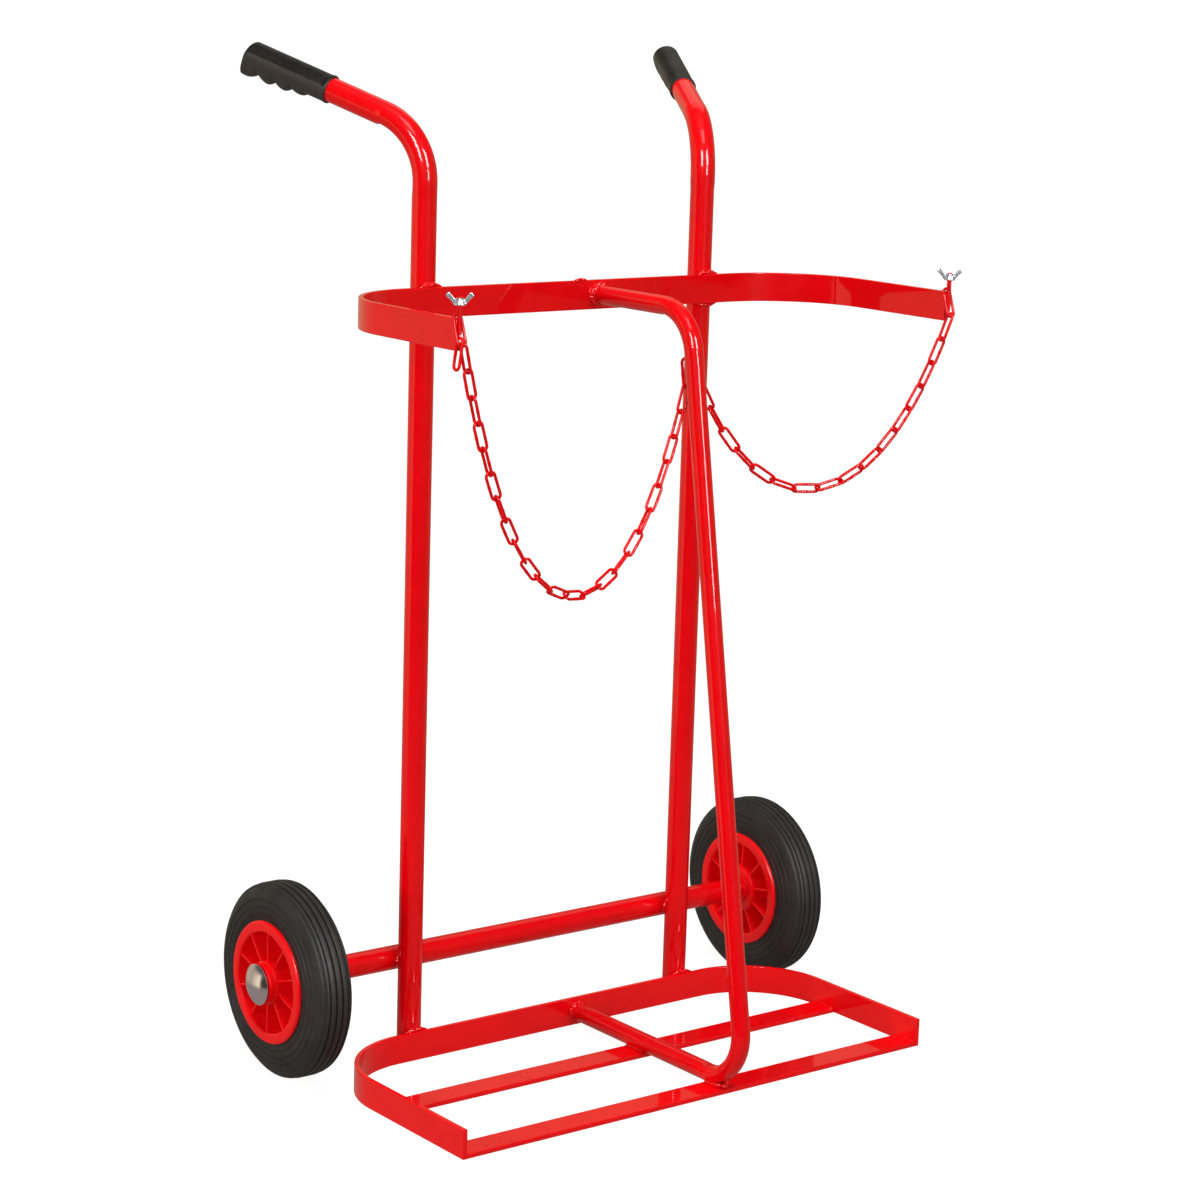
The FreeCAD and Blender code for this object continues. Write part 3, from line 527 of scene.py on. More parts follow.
def band(half, front, corner, low):
    t, h = 5.0, 30.0
    cx, rear, rc, zc = half - t / 2, -12.5 - t / 2, corner - t / 2, low + h / 2
    st = [(Vector((-cx, -front, zc)), Vector((-1, 0, 0)), Vector((0, 1, 0)))]
    st.append((Vector((-cx, -front + 4, zc)), Vector((-1, 0, 0)), Vector((0, 1, 0))))
    for k in range(25):
        a = math.radians(90.0 * k / 24)
        c = Vector((-cx + rc, rear - rc, zc))
        o = Vector((-math.cos(a), math.sin(a), 0))
        st.append((c + o * rc, o, Vector((math.sin(a), math.cos(a), 0))))
    for k in range(25):
        a = math.radians(90.0 * k / 24)
        c = Vector((cx - rc, rear - rc, zc))
        o = Vector((math.sin(a), math.cos(a), 0))
        st.append((c + o * rc, o, Vector((math.cos(a), -math.sin(a), 0))))
    st.append((Vector((cx, -front + 4, zc)), Vector((1, 0, 0)), Vector((0, -1, 0))))
    st.append((Vector((cx, -front, zc)), Vector((1, 0, 0)), Vector((0, -1, 0))))
    return Shell().rows(bar_rows(st, t, h, 0.75), cap0=True, cap1=True)


# The base band and the slats take the brightened red, painted light.
piece("base_band_bar", mesh_of("base_band_bar", band(295.0, 268.0, 95.0, 0.0)), BASE_RED_PAINTED_LIGHT, "frame", ["base_band"])
piece("top_band_bar", mesh_of("top_band_bar", band(306.0, 242.5, 100.0, 768.0)), RED, "frame", ["top_band"])
for name, front in (("front_slat", 268.0), ("rear_slat", 139.0)):
    yc, o, al = -front + 15.0, Vector((0, 1, 0)), Vector((1, 0, 0))
    st = [(Vector((x, yc, 2.5)), o, al) for x in (-290.0, -288.0, -95.0, 95.0, 288.0, 290.0)]
    sh = Shell().rows(bar_rows(st, 30.0, 5.0, 0.7), cap0=True, cap1=True)
    piece(name + "_bar", mesh_of(name + "_bar", sh), BASE_RED_PAINTED_LIGHT, "frame", [name])


# ------------------------------------------------------------------- wheels
def rounded(poly, k=4):
    """Closed polygon of (x, y) or (x, y, radius); corners with a radius become arcs."""
    out, n = [], len(poly)
    for i, p in enumerate(poly):
        q = Vector(p[:2])
        if len(p) < 3 or p[2] <= 0:
            out.append(tuple(q))
            continue
        a, b = Vector(poly[i - 1][:2]), Vector(poly[(i + 1) % n][:2])
        u, w = (a - q).normalized(), (b - q).normalized()
        ang = u.angle(w)
        tang = min(p[2] / math.tan(ang / 2), 0.48 * (a - q).length, 0.48 * (b - q).length)
        r = tang * math.tan(ang / 2)
        c = q + (u + w).normalized() * (r / math.sin(ang / 2))
        s0, s1 = q + u * tang - c, q + w * tang - c
        a0 = math.atan2(s0.y, s0.x)
        da = (math.atan2(s1.y, s1.x) - a0 + math.pi) % (2 * math.pi) - math.pi
        for j in range(k + 1):
            t = a0 + da * j / k
            out.append((c.x + r * math.cos(t), c.y + r * math.sin(t)))
    return out


def tyre_profile():
    """Cross-section of the tyre, outwards along the axle against radius."""
    half = [(21.75, 60.3, 0.2), (21.75, 63.4, 0.2), (21.2, 63.9, 0.3), (21.6, 65.4, 0.6)]
    for r, x in ((70.0, 22.0), (77.0, 21.95), (84.0, 21.1)):     # fine rings on the sidewall
        half += [(x, r - 0.95), (x + 0.34, r - 0.6, 0.2), (x + 0.34, r - 0.15, 0.15), (x - 0.42, r + 0.2, 0.15), (x - 0.42, r + 0.5, 0.15), (x, r + 0.85)]
    half += [(20.0, 89.2, 2.0), (17.3, 94.2, 2.5), (15.6, 95.9, 0.5), (15.3, 95.2, 0.3), (14.7, 95.7, 0.3), (13.6, 98.7, 1.0), (12.2, 99.1, 0.6)]
    for g, top in ((10.6, 99.35), (3.6, 99.9)):                  # tread grooves
        half += [(g + 1.15, top, 0.5), (g + 0.45, 97.2, 0.35), (g - 0.45, 97.2, 0.35), (g - 1.15, top + 0.1, 0.5)]
        half += [((10.6 + 3.6) / 2, 99.98)] if g > 5 else []
    prof = [(-21.75, 60.3, 0.2)] + half
    left = [tuple([-p[0]] + list(p[1:])) for p in reversed(half[1:])]
    return rounded(prof + left, 3)


def rim_shell(cx, s):
    """One-piece moulded rim without its ribs, and the ribs."""
    poly = [(-25.2, 14.1, 0.6), (32.5, 14.1, 0.6), (32.5, 20.6, 1.0), (28.4, 20.9, 0.3), (28.0, 19.7, 0.3), (26.4, 19.7, 0.3),
            (26.0, 22.3, 0.9), (3.2, 24.0, 1.6), (2.5, 49.4, 2.2), (24.3, 51.9, 0.9), (25.5, 53.2, 0.8),
            (25.5, 61.6, 1.5), (23.6, 63.0, 1.0), (21.85, 62.9, 0.3), (21.85, 60.05, 0.2), (-21.85, 60.05, 0.2), (-21.85, 62.9, 0.3), (-23.6, 63.0, 1.0),
            (-25.5, 61.6, 1.5), (-25.5, 53.2, 0.8), (-24.3, 51.9, 0.9), (-2.5, 49.4, 2.2),
            (-3.2, 27.6, 1.6), (-24.0, 26.2, 1.0), (-25.2, 24.2, 0.8), (-25.2, 20.2, 0.3), (-23.9, 19.9, 0.3), (-23.9, 17.4, 0.3), (-25.2, 17.1, 0.3)]
    body = turned(rounded(poly, 4), (cx, 25.0, 100.0), s, 120)
    ribs = Shell()
    for k in range(10):
        a = 2 * math.pi * k / 10 + math.radians(18.0 if s < 0 else 24.8)
        e, q = Vector((0, math.cos(a), math.sin(a))), Vector((0, -math.sin(a), math.cos(a)))
        # section across the rib at stations from the inner to the outer top edge
        out_rows = []
        for r, top, bot in ((18.0, 23.0, -23.0), (22.4, 23.0, -23.0), (30.0, 23.1, -23.1), (44.0, 23.3, -23.3), (53.0, 23.4, -23.4)):
            ring = []
            for x, w in ((0.0, 1.55), (top - 0.9, 1.08), (top - 0.35, 0.95), (top - 0.06, 0.55), (top, 0.0),
                         (top - 0.06, -0.55), (top - 0.35, -0.95), (top - 0.9, -1.08), (0.0, -1.55),
                         (bot + 0.9, -1.08), (bot + 0.35, -0.95), (bot + 0.06, -0.55), (bot, 0.0), (bot + 0.06, 0.55), (bot + 0.35, 0.95), (bot + 0.9, 1.08)):
                ring.append(Vector((cx + s * x, 25.0, 100.0)) + e * r + q * w)
            out_rows.append(ring)
        ribs.rows(out_rows, cap0=True, cap1=True)
    return body, ribs


def cap_profile():
    """Pressed dome with a rolled rim and a collar that grips the rod."""
    outer = []
    for k in range(25):
        r = 20.6 * math.sin(math.pi / 2 * k / 24)
        outer.append((math.sqrt(31.5625 ** 2 - r * r) - 23.5625, r))
    rim = [(0.5 - 0.5 * math.sin(a), 20.5 + 0.5 * math.cos(a)) for a in [math.radians(x) for x in (20, 50, 80, 110, 140, 170)]]
    inner = [(0.55, 19.4), (1.3, 18.2), (4.0, 13.2), (4.6, 11.4), (0.1, 11.4), (0.1, 10.05), (5.1, 10.05), (6.8, 0.0)]
    return outer + rim + inner


for side, s in (("left", -1), ("right", 1)):
    cx = s * 309.5
    at = (cx, 25.0, 100.0)
    me = mesh_of(side + "_solid_tyre", turned(tyre_profile(), at, s, 168), 40.0)
    piece(side + "_solid_tyre", me, RUBBER, side + "_wheel", [side + "_tyre"])
    body, ribs = rim_shell(cx, s)
    ob = bpy.data.objects.new("rim_build", mesh_of("rim_build", body, 40.0))
    tool = bpy.data.objects.new("rib_build", mesh_of("rib_build", ribs, 40.0))
    scene.collection.objects.link(ob)
    scene.collection.objects.link(tool)
    mod = ob.modifiers.new("join", "BOOLEAN")
    mod.operation, mod.solver, mod.object = "UNION", "EXACT", tool
    me = baked(ob, side + "_moulded_rim")
    tool_mesh = tool.data
    bpy.data.objects.remove(tool)
    bpy.data.meshes.remove(tool_mesh)
    me.polygons.foreach_set("use_smooth", [True] * len(me.polygons))
    me.set_sharp_from_angle(angle=math.radians(38))
    piece(side + "_moulded_rim", me, RIM, side + "_wheel", [side + "_wheel_rim"])
    x0 = cx + s * (32.5 + 0.3 + 2.0)
    piece(side + "_domed_cap", mesh_of(side + "_domed_cap", turned(cap_profile(), (x0, 25.0, 100.0), s, 96), 50.0),
          CHROME, "frame", [side + "_axle_cap"])
    for nm, a in (("inner", 309.5 - 25.2 - 0.3 - 2.0), ("outer", 309.5 + 32.5 + 0.3)):
        wp = rounded([(0.0, 10.05, 0.3), (0.0, 15.5, 0.35), (2.0, 15.5, 0.35), (2.0, 10.05, 0.3)], 3)
        piece("%s_%s_flat_washer" % (side, nm), mesh_of("%s_%s_flat_washer" % (side, nm), turned(wp, (s * a, 25.0, 100.0), s, 64)),
              RED if nm == "inner" else ZINC, "frame", ["%s_%s_washer" % (side, nm)])


# -------------------------------------------------------------------- grips
def dips(t, knots):
    """Rounded swells between the notches: knots are (place, depth), notch and crest in turn."""
    if t <= knots[0][0]:
        return knots[0][1]
    for i in range(len(knots) - 1):
        (a, da), (b, db) = knots[i], knots[i + 1]
        if a <= t <= b:
            u = (t - a) / (b - a)
            if db > da:
                return da + (db - da) * math.sin(math.pi / 2 * u) ** 0.62
            return db + (da - db) * math.sin(math.pi / 2 * (1 - u)) ** 0.62
    return knots[-1][1]


FINGERS = [(134.5, 14.0), (137.6, 14.0), (145.0, 17.5), (155.6, 14.1), (164.0, 20.2), (175.4, 14.3), (184.0, 21.3), (195.0, 14.6), (205.5, 22.4), (216.0, 21.2)]


def grip_shell(s):
    ph, ep = math.radians(26.3), math.radians(18.5)
    d = Vector((s * math.sin(ph) * math.cos(ep), math.cos(ph) * math.cos(ep), math.sin(ep)))
    y = Vector((0, 0, 1)).cross(d).normalized()
    z = d.cross(y)
    v = Vector((s * 176.0, 0.0, 948.0))
    n = 72

    def ring(t, shrink=0.0, scale=1.0, lean=0.0, r_top=None, round_only=False):
        pts = []
        deep = dips(t, FINGERS)
        top = 14.0 if r_top is None else r_top
        for j in range(n):
            th = 2 * math.pi * j / n
            c, sn = math.cos(th), math.sin(th)
            if round_only:
                px, pz = r_top * c, r_top * sn
            elif sn >= 0:
                px, pz = 14.0 * c, top * sn
            else:
                lobe = max(0.0, deep - 14.0)
                px = 14.0 * c * (1 - 0.020 * lobe * sn * sn)
                pz = -(14.0 + lobe * smoothstep(0.12, 1.0, -sn)) * (-sn)
            l = math.hypot(px, pz)
            if l > 1e-6:
                k = max(0.0, (l - shrink)) / l * scale
                px, pz = px * k, pz * k
            pts.append(v + d * (t + lean * pz) + y * px + z * pz)
        return pts

    rows = []
    for r in (0.01, 6.0, 12.2):                               # floor of the socket
        rows.append(ring(206.0, r_top=r, round_only=True))
    rows.append(ring(205.7, r_top=12.52, round_only=True))
    rows.append(ring(113.5, r_top=12.52, round_only=True))
    for t, r in ((113.0, 12.75), (113.0, 13.9), (113.25, 14.25), (113.9, 14.5), (115.6, 14.5), (116.6, 14.25), (117.6, 14.02)):
        rows.append(ring(t, r_top=r, round_only=True))
    t = 119.0
    while t < 209.8:
        rows.append(ring(t, lean=-0.20 * smoothstep(186.0, 209.0, t)))
        t += 0.85
    rc = 2.8
    for k in range(1, 10):
        a = math.radians(90.0 * k / 9)
        tt = 210.2 + rc * math.sin(a)
        rows.append(ring(tt, shrink=rc * (1 - math.cos(a)), lean=-0.20))
    base = rows[-1]
    mid = sum(base, Vector()) / len(base)
    for q in (0.75, 0.5, 0.25, 0.001):
        rows.append([mid + (p - mid) * q + d * 0.7 * (1 - q * q) for p in base])
    return Shell().rows(rows)


for side, s in (("left", -1), ("right", 1)):
    piece(side + "_hand_grip", mesh_of(side + "_hand_grip", grip_shell(s), 50.0), GRIP, "frame", [side + "_grip"])


# --------------------------------------------------- studs and wing nuts
def stud_shell(cx, cy, z0, z1, pitch=0.8, R=2.5, cut=0.30):
    """Threaded rod with coned ends; the paint leaves the thread shallow."""
    n, rows = 40, []
    steps = int((z1 - z0) / 0.1)
    for i in range(steps + 1):
        z = z0 + (z1 - z0) * i / steps
        edge = min(z - z0, z1 - z)
        cone = max(0.0, 0.75 - edge)
        ring = []
        for j in range(n):
            a = 2 * math.pi * j / n
            ph = (z / pitch - j / n) % 1.0
            tri = abs(ph * 2 - 1)
            depth = cut * smoothstep(0.15, 0.85, tri)
            r = min(R - depth, R - cone)
            ring.append((cx + r * math.cos(a), cy + r * math.sin(a), z))
        rows.append(ring)
    return Shell().rows(rows, cap0=True, cap1=True)


def wing_nut_mesh(name, cx, cy, z0, turn_deg):
    """Pressed wing nut: coned hub on a flange and two upswept wings, blended together."""
    sh = Shell()
    hub = rounded([(0.05, 2.56), (0.0, 5.1, 0.3), (0.5, 5.7, 0.3), (1.7, 5.6, 0.4), (4.6, 4.5, 1.0), (6.6, 3.4, 0.7), (6.8, 2.56)], 4)
    n = 72
    sh.rows([[(r * math.cos(2 * math.pi * j / n), r * math.sin(2 * math.pi * j / n), h) for j in range(n)] for h, r in hub], along=True)
    for m in (1, -1):
        wing = rounded([(3.3, 0.7), (5.5, 0.6, 1.0), (7.6, 3.6, 3.0), (13.2, 9.0, 1.1), (10.0, 12.7, 1.1), (6.1, 7.8, 1.6), (4.0, 5.3, 0.8), (3.3, 4.4)], 5)
        for half, inset in ((0.0, 0.0),):
            rows = []
            c = Vector((sum(p[0] for p in wing) / len(wing), sum(p[1] for p in wing) / len(wing)))
            for y, k in ((-1.3, 0.90), (-1.15, 0.965), (-0.85, 1.0), (0.85, 1.0), (1.15, 0.965), (1.3, 0.90)):
                rows.append([(m * (c.x + (p[0] - c.x) * k), y, c.y + (p[1] - c.y) * k) for p in wing])
            sh.rows(rows, cap0=True, cap1=True)
    a = math.radians(turn_deg)
    sh.v = [(cx + x * math.cos(a) - y * math.sin(a), cy + x * math.sin(a) + y * math.cos(a), z0 + z) for x, y, z in sh.v]
    ob = bpy.data.objects.new("nut_build", mesh_of("nut_build", sh))
    scene.collection.objects.link(ob)
    mod = ob.modifiers.new("skin", "REMESH")
    mod.mode, mod.voxel_size, mod.use_smooth_shade = "VOXEL", 0.00019, True
    sm = ob.modifiers.new("soft", "SMOOTH")
    sm.factor, sm.iterations = 0.5, 5
    me = baked(ob, name)
    me.polygons.foreach_set("use_smooth", [True] * len(me.polygons))
    return me


for side, s, low in (("left", -1, 782.5), ("right", 1, 777.5)):
    piece(side + "_threaded_stud", mesh_of(side + "_threaded_stud", stud_shell(s * 303.5, -245.0, low, 817.0), 60.0),
          CHAIN_RED, "frame", [side + "_chain_stud"])
    piece(side + "_winged_nut", wing_nut_mesh(side + "_winged_nut", s * 303.5, -245.0, 809.6, -34.0),
          ZINC, side + "_nut", [side + "_wing_nut"])


# ------------------------------------------------------------------- chains
def islands(ob):
    """Centre and axes of every separate solid in a CAD node, in millimetres."""
    bm = bmesh.new()
    bm.from_mesh(ob.data)
    bmesh.ops.remove_doubles(bm, verts=bm.verts, dist=1e-6)
    bm.verts.ensure_lookup_table()
    seen, out = set(), []
    for start in bm.verts:
        if start.index in seen:
            continue
        stack, group = [start], []
        seen.add(start.index)
        while stack:
            v = stack.pop()
            group.append(tuple(v.co))
            for e in v.link_edges:
                o = e.other_vert(v)
                if o.index not in seen:
                    seen.add(o.index)
                    stack.append(o)
        p = np.array(group) * 1000.0
        p[:, 1] -= SHIFT
        mid = p.mean(axis=0)
        _, _, vt = np.linalg.svd(p - mid, full_matrices=False)
        q = (p - mid) @ vt.T
        mid = mid + ((q.max(axis=0) + q.min(axis=0)) / 2) @ vt
        x, y = Vector(vt[0]), Vector(vt[1])
        out.append((Vector(mid), x, y, x.cross(y)))
    bm.free()
    out.sort(key=lambda g: (round(g[0].x, 1), round(g[0].y, 1), round(g[0].z, 1)))
    return out


def link_rows(c, x, y, z, seed):
    """One welded link: round wire along a long oval with a weld swell on one side."""
    wr, arc, st = 1.5, 4.5, 10.1
    path = []
    for k in range(11):
        u = -1 + 2 * k / 10
        path.append((u * st, -arc, 1, 0))
    for k in range(1, 12):
        a = math.radians(-90 + 180 * k / 12)
        path.append((st + arc * math.cos(a), arc * math.sin(a), -math.sin(a), math.cos(a)))
    for k in range(11):
        u = 1 - 2 * k / 10
        path.append((u * st, arc, -1, 0))
    for k in range(1, 12):
        a = math.radians(90 + 180 * k / 12)
        path.append((-st + arc * math.cos(a), arc * math.sin(a), -math.sin(a), math.cos(a)))
    rows, n = [], 16
    for i, (px, py, tx, ty) in enumerate(path):
        t = x * tx + y * ty
        o = t.cross(z)
        r = wr
        if i <= 10:
            r += 0.24 * math.exp(-((px - 0.4) / 1.5) ** 2) - 0.05 * math.exp(-((px + 3.0) / 0.8) ** 2)
        p = c + x * px + y * py
        r *= 1 + 0.012 * noise.noise(Vector((px * 0.4 + seed, py * 0.4, seed * 1.7)))
        rows.append([p + o * r * math.cos(2 * math.pi * j / n) + z * r * math.sin(2 * math.pi * j / n) for j in range(n)])
    return rows


LINKS = {}
for node, body, slot in (("left_chain_links", "left_chain", "chain_red"), ("right_chain_links", "right_chain", "chain_red"),
                         ("left_stud_link", "frame", "chain_red"), ("right_stud_link", "frame", "chain_red"),
                         ("left_anchor_link", "frame", "chain_red"), ("right_anchor_link", "frame", "chain_red"),
                         ("left_spare_link", "left_spare", "chain_red")):
    sh = Shell()
    LINKS[node] = islands(NODES[node])
    for i, (c, x, y, z) in enumerate(LINKS[node]):
        if y.z < 0:
            y, z = -y, -z
        sh.rows(link_rows(c, x, y, z, 3.1 * i + len(node)), along=True)
    name = node + "_welded"
    piece(name, mesh_of(name, sh, 60.0), CHAIN_RED, body, [node])


# -------------------------------------------------------------------- welds
def bead(sh, pts, radii, closed=False, pitch=2.6, seed=0.0, rough=0.16, sides=14):
    """A run of weld: overlapping rounded pools laid along pts, painted over."""
    pts = [Vector(p) for p in pts]
    if closed:
        pts = pts + [pts[0]]
    cum = [0.0]
    for a, b in zip(pts, pts[1:]):
        cum.append(cum[-1] + (b - a).length)
    total = cum[-1]
    steps = max(8, int(total / 0.45))
    line = []
    for i in range(steps + (0 if closed else 1)):
        s = total * i / steps
        k = max(j for j in range(len(cum)) if cum[j] <= s + 1e-9)
        k = min(k, len(pts) - 2)
        f = (s - cum[k]) / max(cum[k + 1] - cum[k], 1e-9)
        f2 = s / total * (len(radii) - 1)
        m = min(int(f2), len(radii) - 2)
        line.append((pts[k].lerp(pts[k + 1], f), radii[m] + (radii[m + 1] - radii[m]) * (f2 - m), s))
    rows = []
    count = max(1, round(total / pitch))
    ref = None
    for i, (p, r, s) in enumerate(line):
        if closed:
            t = (line[(i + 1) % len(line)][0] - line[i - 1][0]).normalized()
        else:
            t = (line[min(i + 1, len(line) - 1)][0] - line[max(i - 1, 0)][0]).normalized()
        if ref is None:
            ref = t.orthogonal().normalized()
        ref = (ref - t * ref.dot(t)).normalized()
        o = t.cross(ref)
        ph = (s / total * count) % 1.0
        pool = 0.80 + 0.20 * math.sin(math.pi * (ph * 0.9 + 0.05)) ** 0.6
        ring = []
        for j in range(sides):
            a = 2 * math.pi * j / sides
            dirn = ref * math.cos(a) + o * math.sin(a)
            lump = 1 + rough * noise.noise(p * 0.42 + dirn * 0.9 + Vector((seed, 0, 0)))
            end = 1.0
            if not closed:
                e = min(s, total - s)
                if e < r:
                    end = math.sqrt(max(0.0, 1 - (1 - e / r) ** 2))
            ring.append(p + dirn * (r * pool * lump * max(end, 0.02)))
        rows.append(ring)
    if closed:
        sh.rows(rows, along=True)
    else:
        sh.rows(rows, cap0=True, cap1=True)


def weld_piece(name, sh):
    return piece(name, mesh_of(name, sh, 70.0), WELD_RED, "frame")


def ring_pts(c, u, w, r, n=28, a0=0.0, a1=360.0):
    c, u, w = Vector(c), Vector(u), Vector(w)
    full = abs(a1 - a0 - 360.0) < 1e-6
    m = n if full else n + 1
    return [c + u * (r * math.cos(math.radians(a0 + (a1 - a0) * k / n))) + w * (r * math.sin(math.radians(a0 + (a1 - a0) * k / n))) for k in range(m)]


sh_top, sh_base, sh_axle = Shell(), Shell(), Shell()
for s in (-1, 1):
    x = s * 176.0
    # across the tube above and below the top band, and above the base band
    prof = [(-12.5, -13.1, 0.0, 1.0), (-9.0, -12.9, 1.4, 1.9), (-5.5, -13.4, 2.7, 2.3), (-1.0, -13.7, 2.0, 2.0), (3.0, -13.6, 3.0, 2.5),
            (7.5, -13.1, 2.0, 2.1), (11.0, -12.8, 1.1, 1.6), (13.8, -13.2, 0.0, 0.9)]
    bead(sh_top, [(x + a, b, 797.6 + c) for a, b, c, r in prof], [r for a, b, c, r in prof], seed=1.3 + s)
    bead(sh_top, [(x + a, b, 768.4 - c) for a, b, c, r in prof], [r * 0.92 for a, b, c, r in prof], seed=4.9 + s)
    bead(sh_base, [(x + a, b, 29.6 + c * 0.9) for a, b, c, r in prof], [r * 0.95 for a, b, c, r in prof], seed=8.2 + s)
    for dx in (-6.2, 6.2):                       # behind the rails, down each side of the tube
        bead(sh_top, [(x + dx, -11.9, 770.5), (x + dx, -11.9, 795.5)], [1.25, 1.5, 1.3, 1.5, 1.3], seed=dx + s)
        bead(sh_base, [(x + dx, -11.9, 4.0), (x + dx, -11.9, 27.5)], [1.25, 1.5, 1.3, 1.5, 1.3], seed=dx - s)
    # round the crossing of upright and axle tube
    loop = []
    for k in range(30):
        a = 2 * math.pi * k / 30
        dx, dz = 7.4 * math.cos(a), 7.4 * math.sin(a)
        y = 0.5 * (math.sqrt(156.25 - dx * dx) + 25.0 - math.sqrt(156.25 - dz * dz))
        loop.append((x + dx, y, 100.0 + dz))
    bead(sh_axle, loop, [2.3, 2.8, 2.2, 3.0, 2.4, 2.8, 2.3], closed=True, seed=2.2 * s, rough=0.34, pitch=3.2)
# a stray run on the top rail, left of the divider
bead(sh_top, [(-1.5, -16.6, 798.0), (2.5, -16.9, 798.6), (7.0, -16.4, 798.9), (11.0, -16.9, 798.6), (14.5, -16.7, 797.9)], [0.9, 1.5, 1.7, 1.5, 0.9], seed=6.0)
# divider ends on the rails
sh_div = Shell()
for zc, seed in ((783.0, 3.3), (14.5, 7.7)):
    low = 222.0 if zc < 100 else 360.0
    if zc > 100:
        bead(sh_div, ring_pts((30.0, -18.6, zc), (1, 0, 0), (0, 0, 1), 10.1), [2.4, 3.1, 2.3, 3.3, 2.5, 2.9, 2.4], closed=True, seed=seed, rough=0.42, pitch=3.6)
        bead(sh_div, ring_pts((30.0, -21.3, zc), (1, 0, 0), (0, 0, 1), 9.6, 18, 95, 235), [0.8, 1.4, 1.8, 1.4, 0.8], seed=seed + 1, rough=0.30, pitch=3.0)
    else:
        bead(sh_div, ring_pts((30.0, -18.6, zc), (1, 0, 0), (0, 0, 1), 10.1, 24, -28, 208), [1.8, 2.4, 2.8, 2.4, 2.7, 2.3, 1.8], seed=seed, rough=0.30, pitch=3.4)
        bead(sh_div, ring_pts((30.0, -21.2, zc), (1, 0, 0), (0, 0, 1), 9.6, 14, 100, 200), [0.8, 1.5, 1.9, 1.4, 0.8], seed=seed + 1, rough=0.30, pitch=3.0)
# divider on the slats
for s in (-1, 1):
    bead(sh_div, [(30 + s * 5.6, -138.0, 6.4), (30 + s * 6.0, -132.0, 6.6), (30 + s * 5.8, -122.0, 6.5), (30 + s * 5.6, -110.5, 6.3)],
         [1.6, 2.3, 2.0, 2.3, 1.6], seed=5.0 + s, rough=0.25)
    bead(sh_div, [(30 + s * 4.2, -263.5, 8.3), (30 + s * 5.6, -258.0, 8.0), (30 + s * 6.2, -250.0, 7.2), (30 + s * 5.8, -240.0, 6.5)],
         [2.2, 3.1, 2.7, 2.8, 1.7], seed=9.0 + s, rough=0.28)
bead(sh_div, [(25.5, -264.5, 7.4), (30.0, -265.3, 7.8), (34.5, -264.5, 7.4)], [1.8, 2.7, 1.9], seed=12.0, rough=0.28)
# studs on the cut ends of the top band
sh_stud = Shell()
for s, low in ((-1, 783.5), (1, 778.5)):
    for dx in (-2.7, 2.7):
        bead(sh_stud, [(s * 303.5 + dx, -243.4, low), (s * 303.5 + dx, -243.2, 790.0), (s * 303.5 + dx, -243.4, 796.8)], [0.9, 1.25, 1.1, 1.25, 0.9], seed=dx + s, pitch=2.2)
# chain anchors on the back of the divider
sh_anchor = Shell()
for node in ("left_anchor_link", "right_anchor_link"):
    c, x, y, z = LINKS[node][0]
    lean = 128.8 / 768.5
    foot = Vector((30.0, -(166.6 + (783.0 - c.z) * lean), c.z))
    e = y if y.dot(c - foot) > 0 else -y
    for m in (-1, 1):
        p = c - e * 5.6 + z * (m * 1.5)
        bead(sh_anchor, [p - x * 9.0, p - x * 3.0, p + x * 3.0, p + x * 9.0], [1.0, 1.4, 1.1, 1.4, 1.0], seed=m + len(node), rough=0.25)
# slats on the inside of the base band
sh_slat = Shell()
for y0, y1 in ((-266.0, -240.0), (-137.0, -111.0)):
    for s in (-1, 1):
        bead(sh_slat, [(s * 289.0, y0, 5.5), (s * 289.2, (y0 + y1) / 2, 5.8), (s * 289.0, y1, 5.5)], [1.5, 2.1, 1.8, 2.1, 1.5], seed=y0 + s, rough=0.22)
for name, sh in (("weld_top_band", sh_top), ("weld_base_band", sh_base), ("weld_axle", sh_axle), ("weld_divider", sh_div),
                 ("weld_studs", sh_stud), ("weld_anchors", sh_anchor), ("weld_slats", sh_slat)):
    weld_piece(name, sh)

# ----------------------------------------------- CAD nodes that stay as made
for node, mat in (("axle_rod", STEEL), ("left_roller_cage", NYLON), ("right_roller_cage", NYLON),
                  ("left_bearing_rollers", STEEL), ("right_bearing_rollers", STEEL)):
    ob = NODES[node]
    if not ob.material_slots:
        ob.data.materials.append(mat)
    for ms in ob.material_slots:
        ms.material = mat

# -------------------------------------------------------------------- stage
# A pale floor and a white wall all round it, which curves over the top.
def disc_rows(ring_list, n=96):
    return [[(r * math.cos(2 * math.pi * j / n), r * math.sin(2 * math.pi * j / n), z) for j in range(n)] for r, z in ring_list]


def stage_piece(name, rings, mat, cap):
    st = Shell().rows(disc_rows(rings), cap0=cap)
    me = bpy.data.meshes.new(name)
    me.from_pydata(st.v, [], st.f)
    me.polygons.foreach_set("use_smooth", [True] * len(me.polygons))
    me.materials.append(mat)
    ob = bpy.data.objects.new(name, me)
    scene.collection.objects.link(ob)
    ob.visible_glossy = False
    ob.visible_diffuse = False
    return ob


def studio(name, albedo, glow):
    p = Paint(name, Specular_IOR_Level=0.0, Roughness=0.9, Emission_Strength=glow)
    p.bsdf.inputs["Emission Color"].default_value = (1.0, 1.0, 1.0, 1.0)
    p.colour(p.ramp(p.noise(0.7, 2.0), [(0.3, grey(albedo)), (0.7, grey(albedo * 1.04))]))
    return p.mat


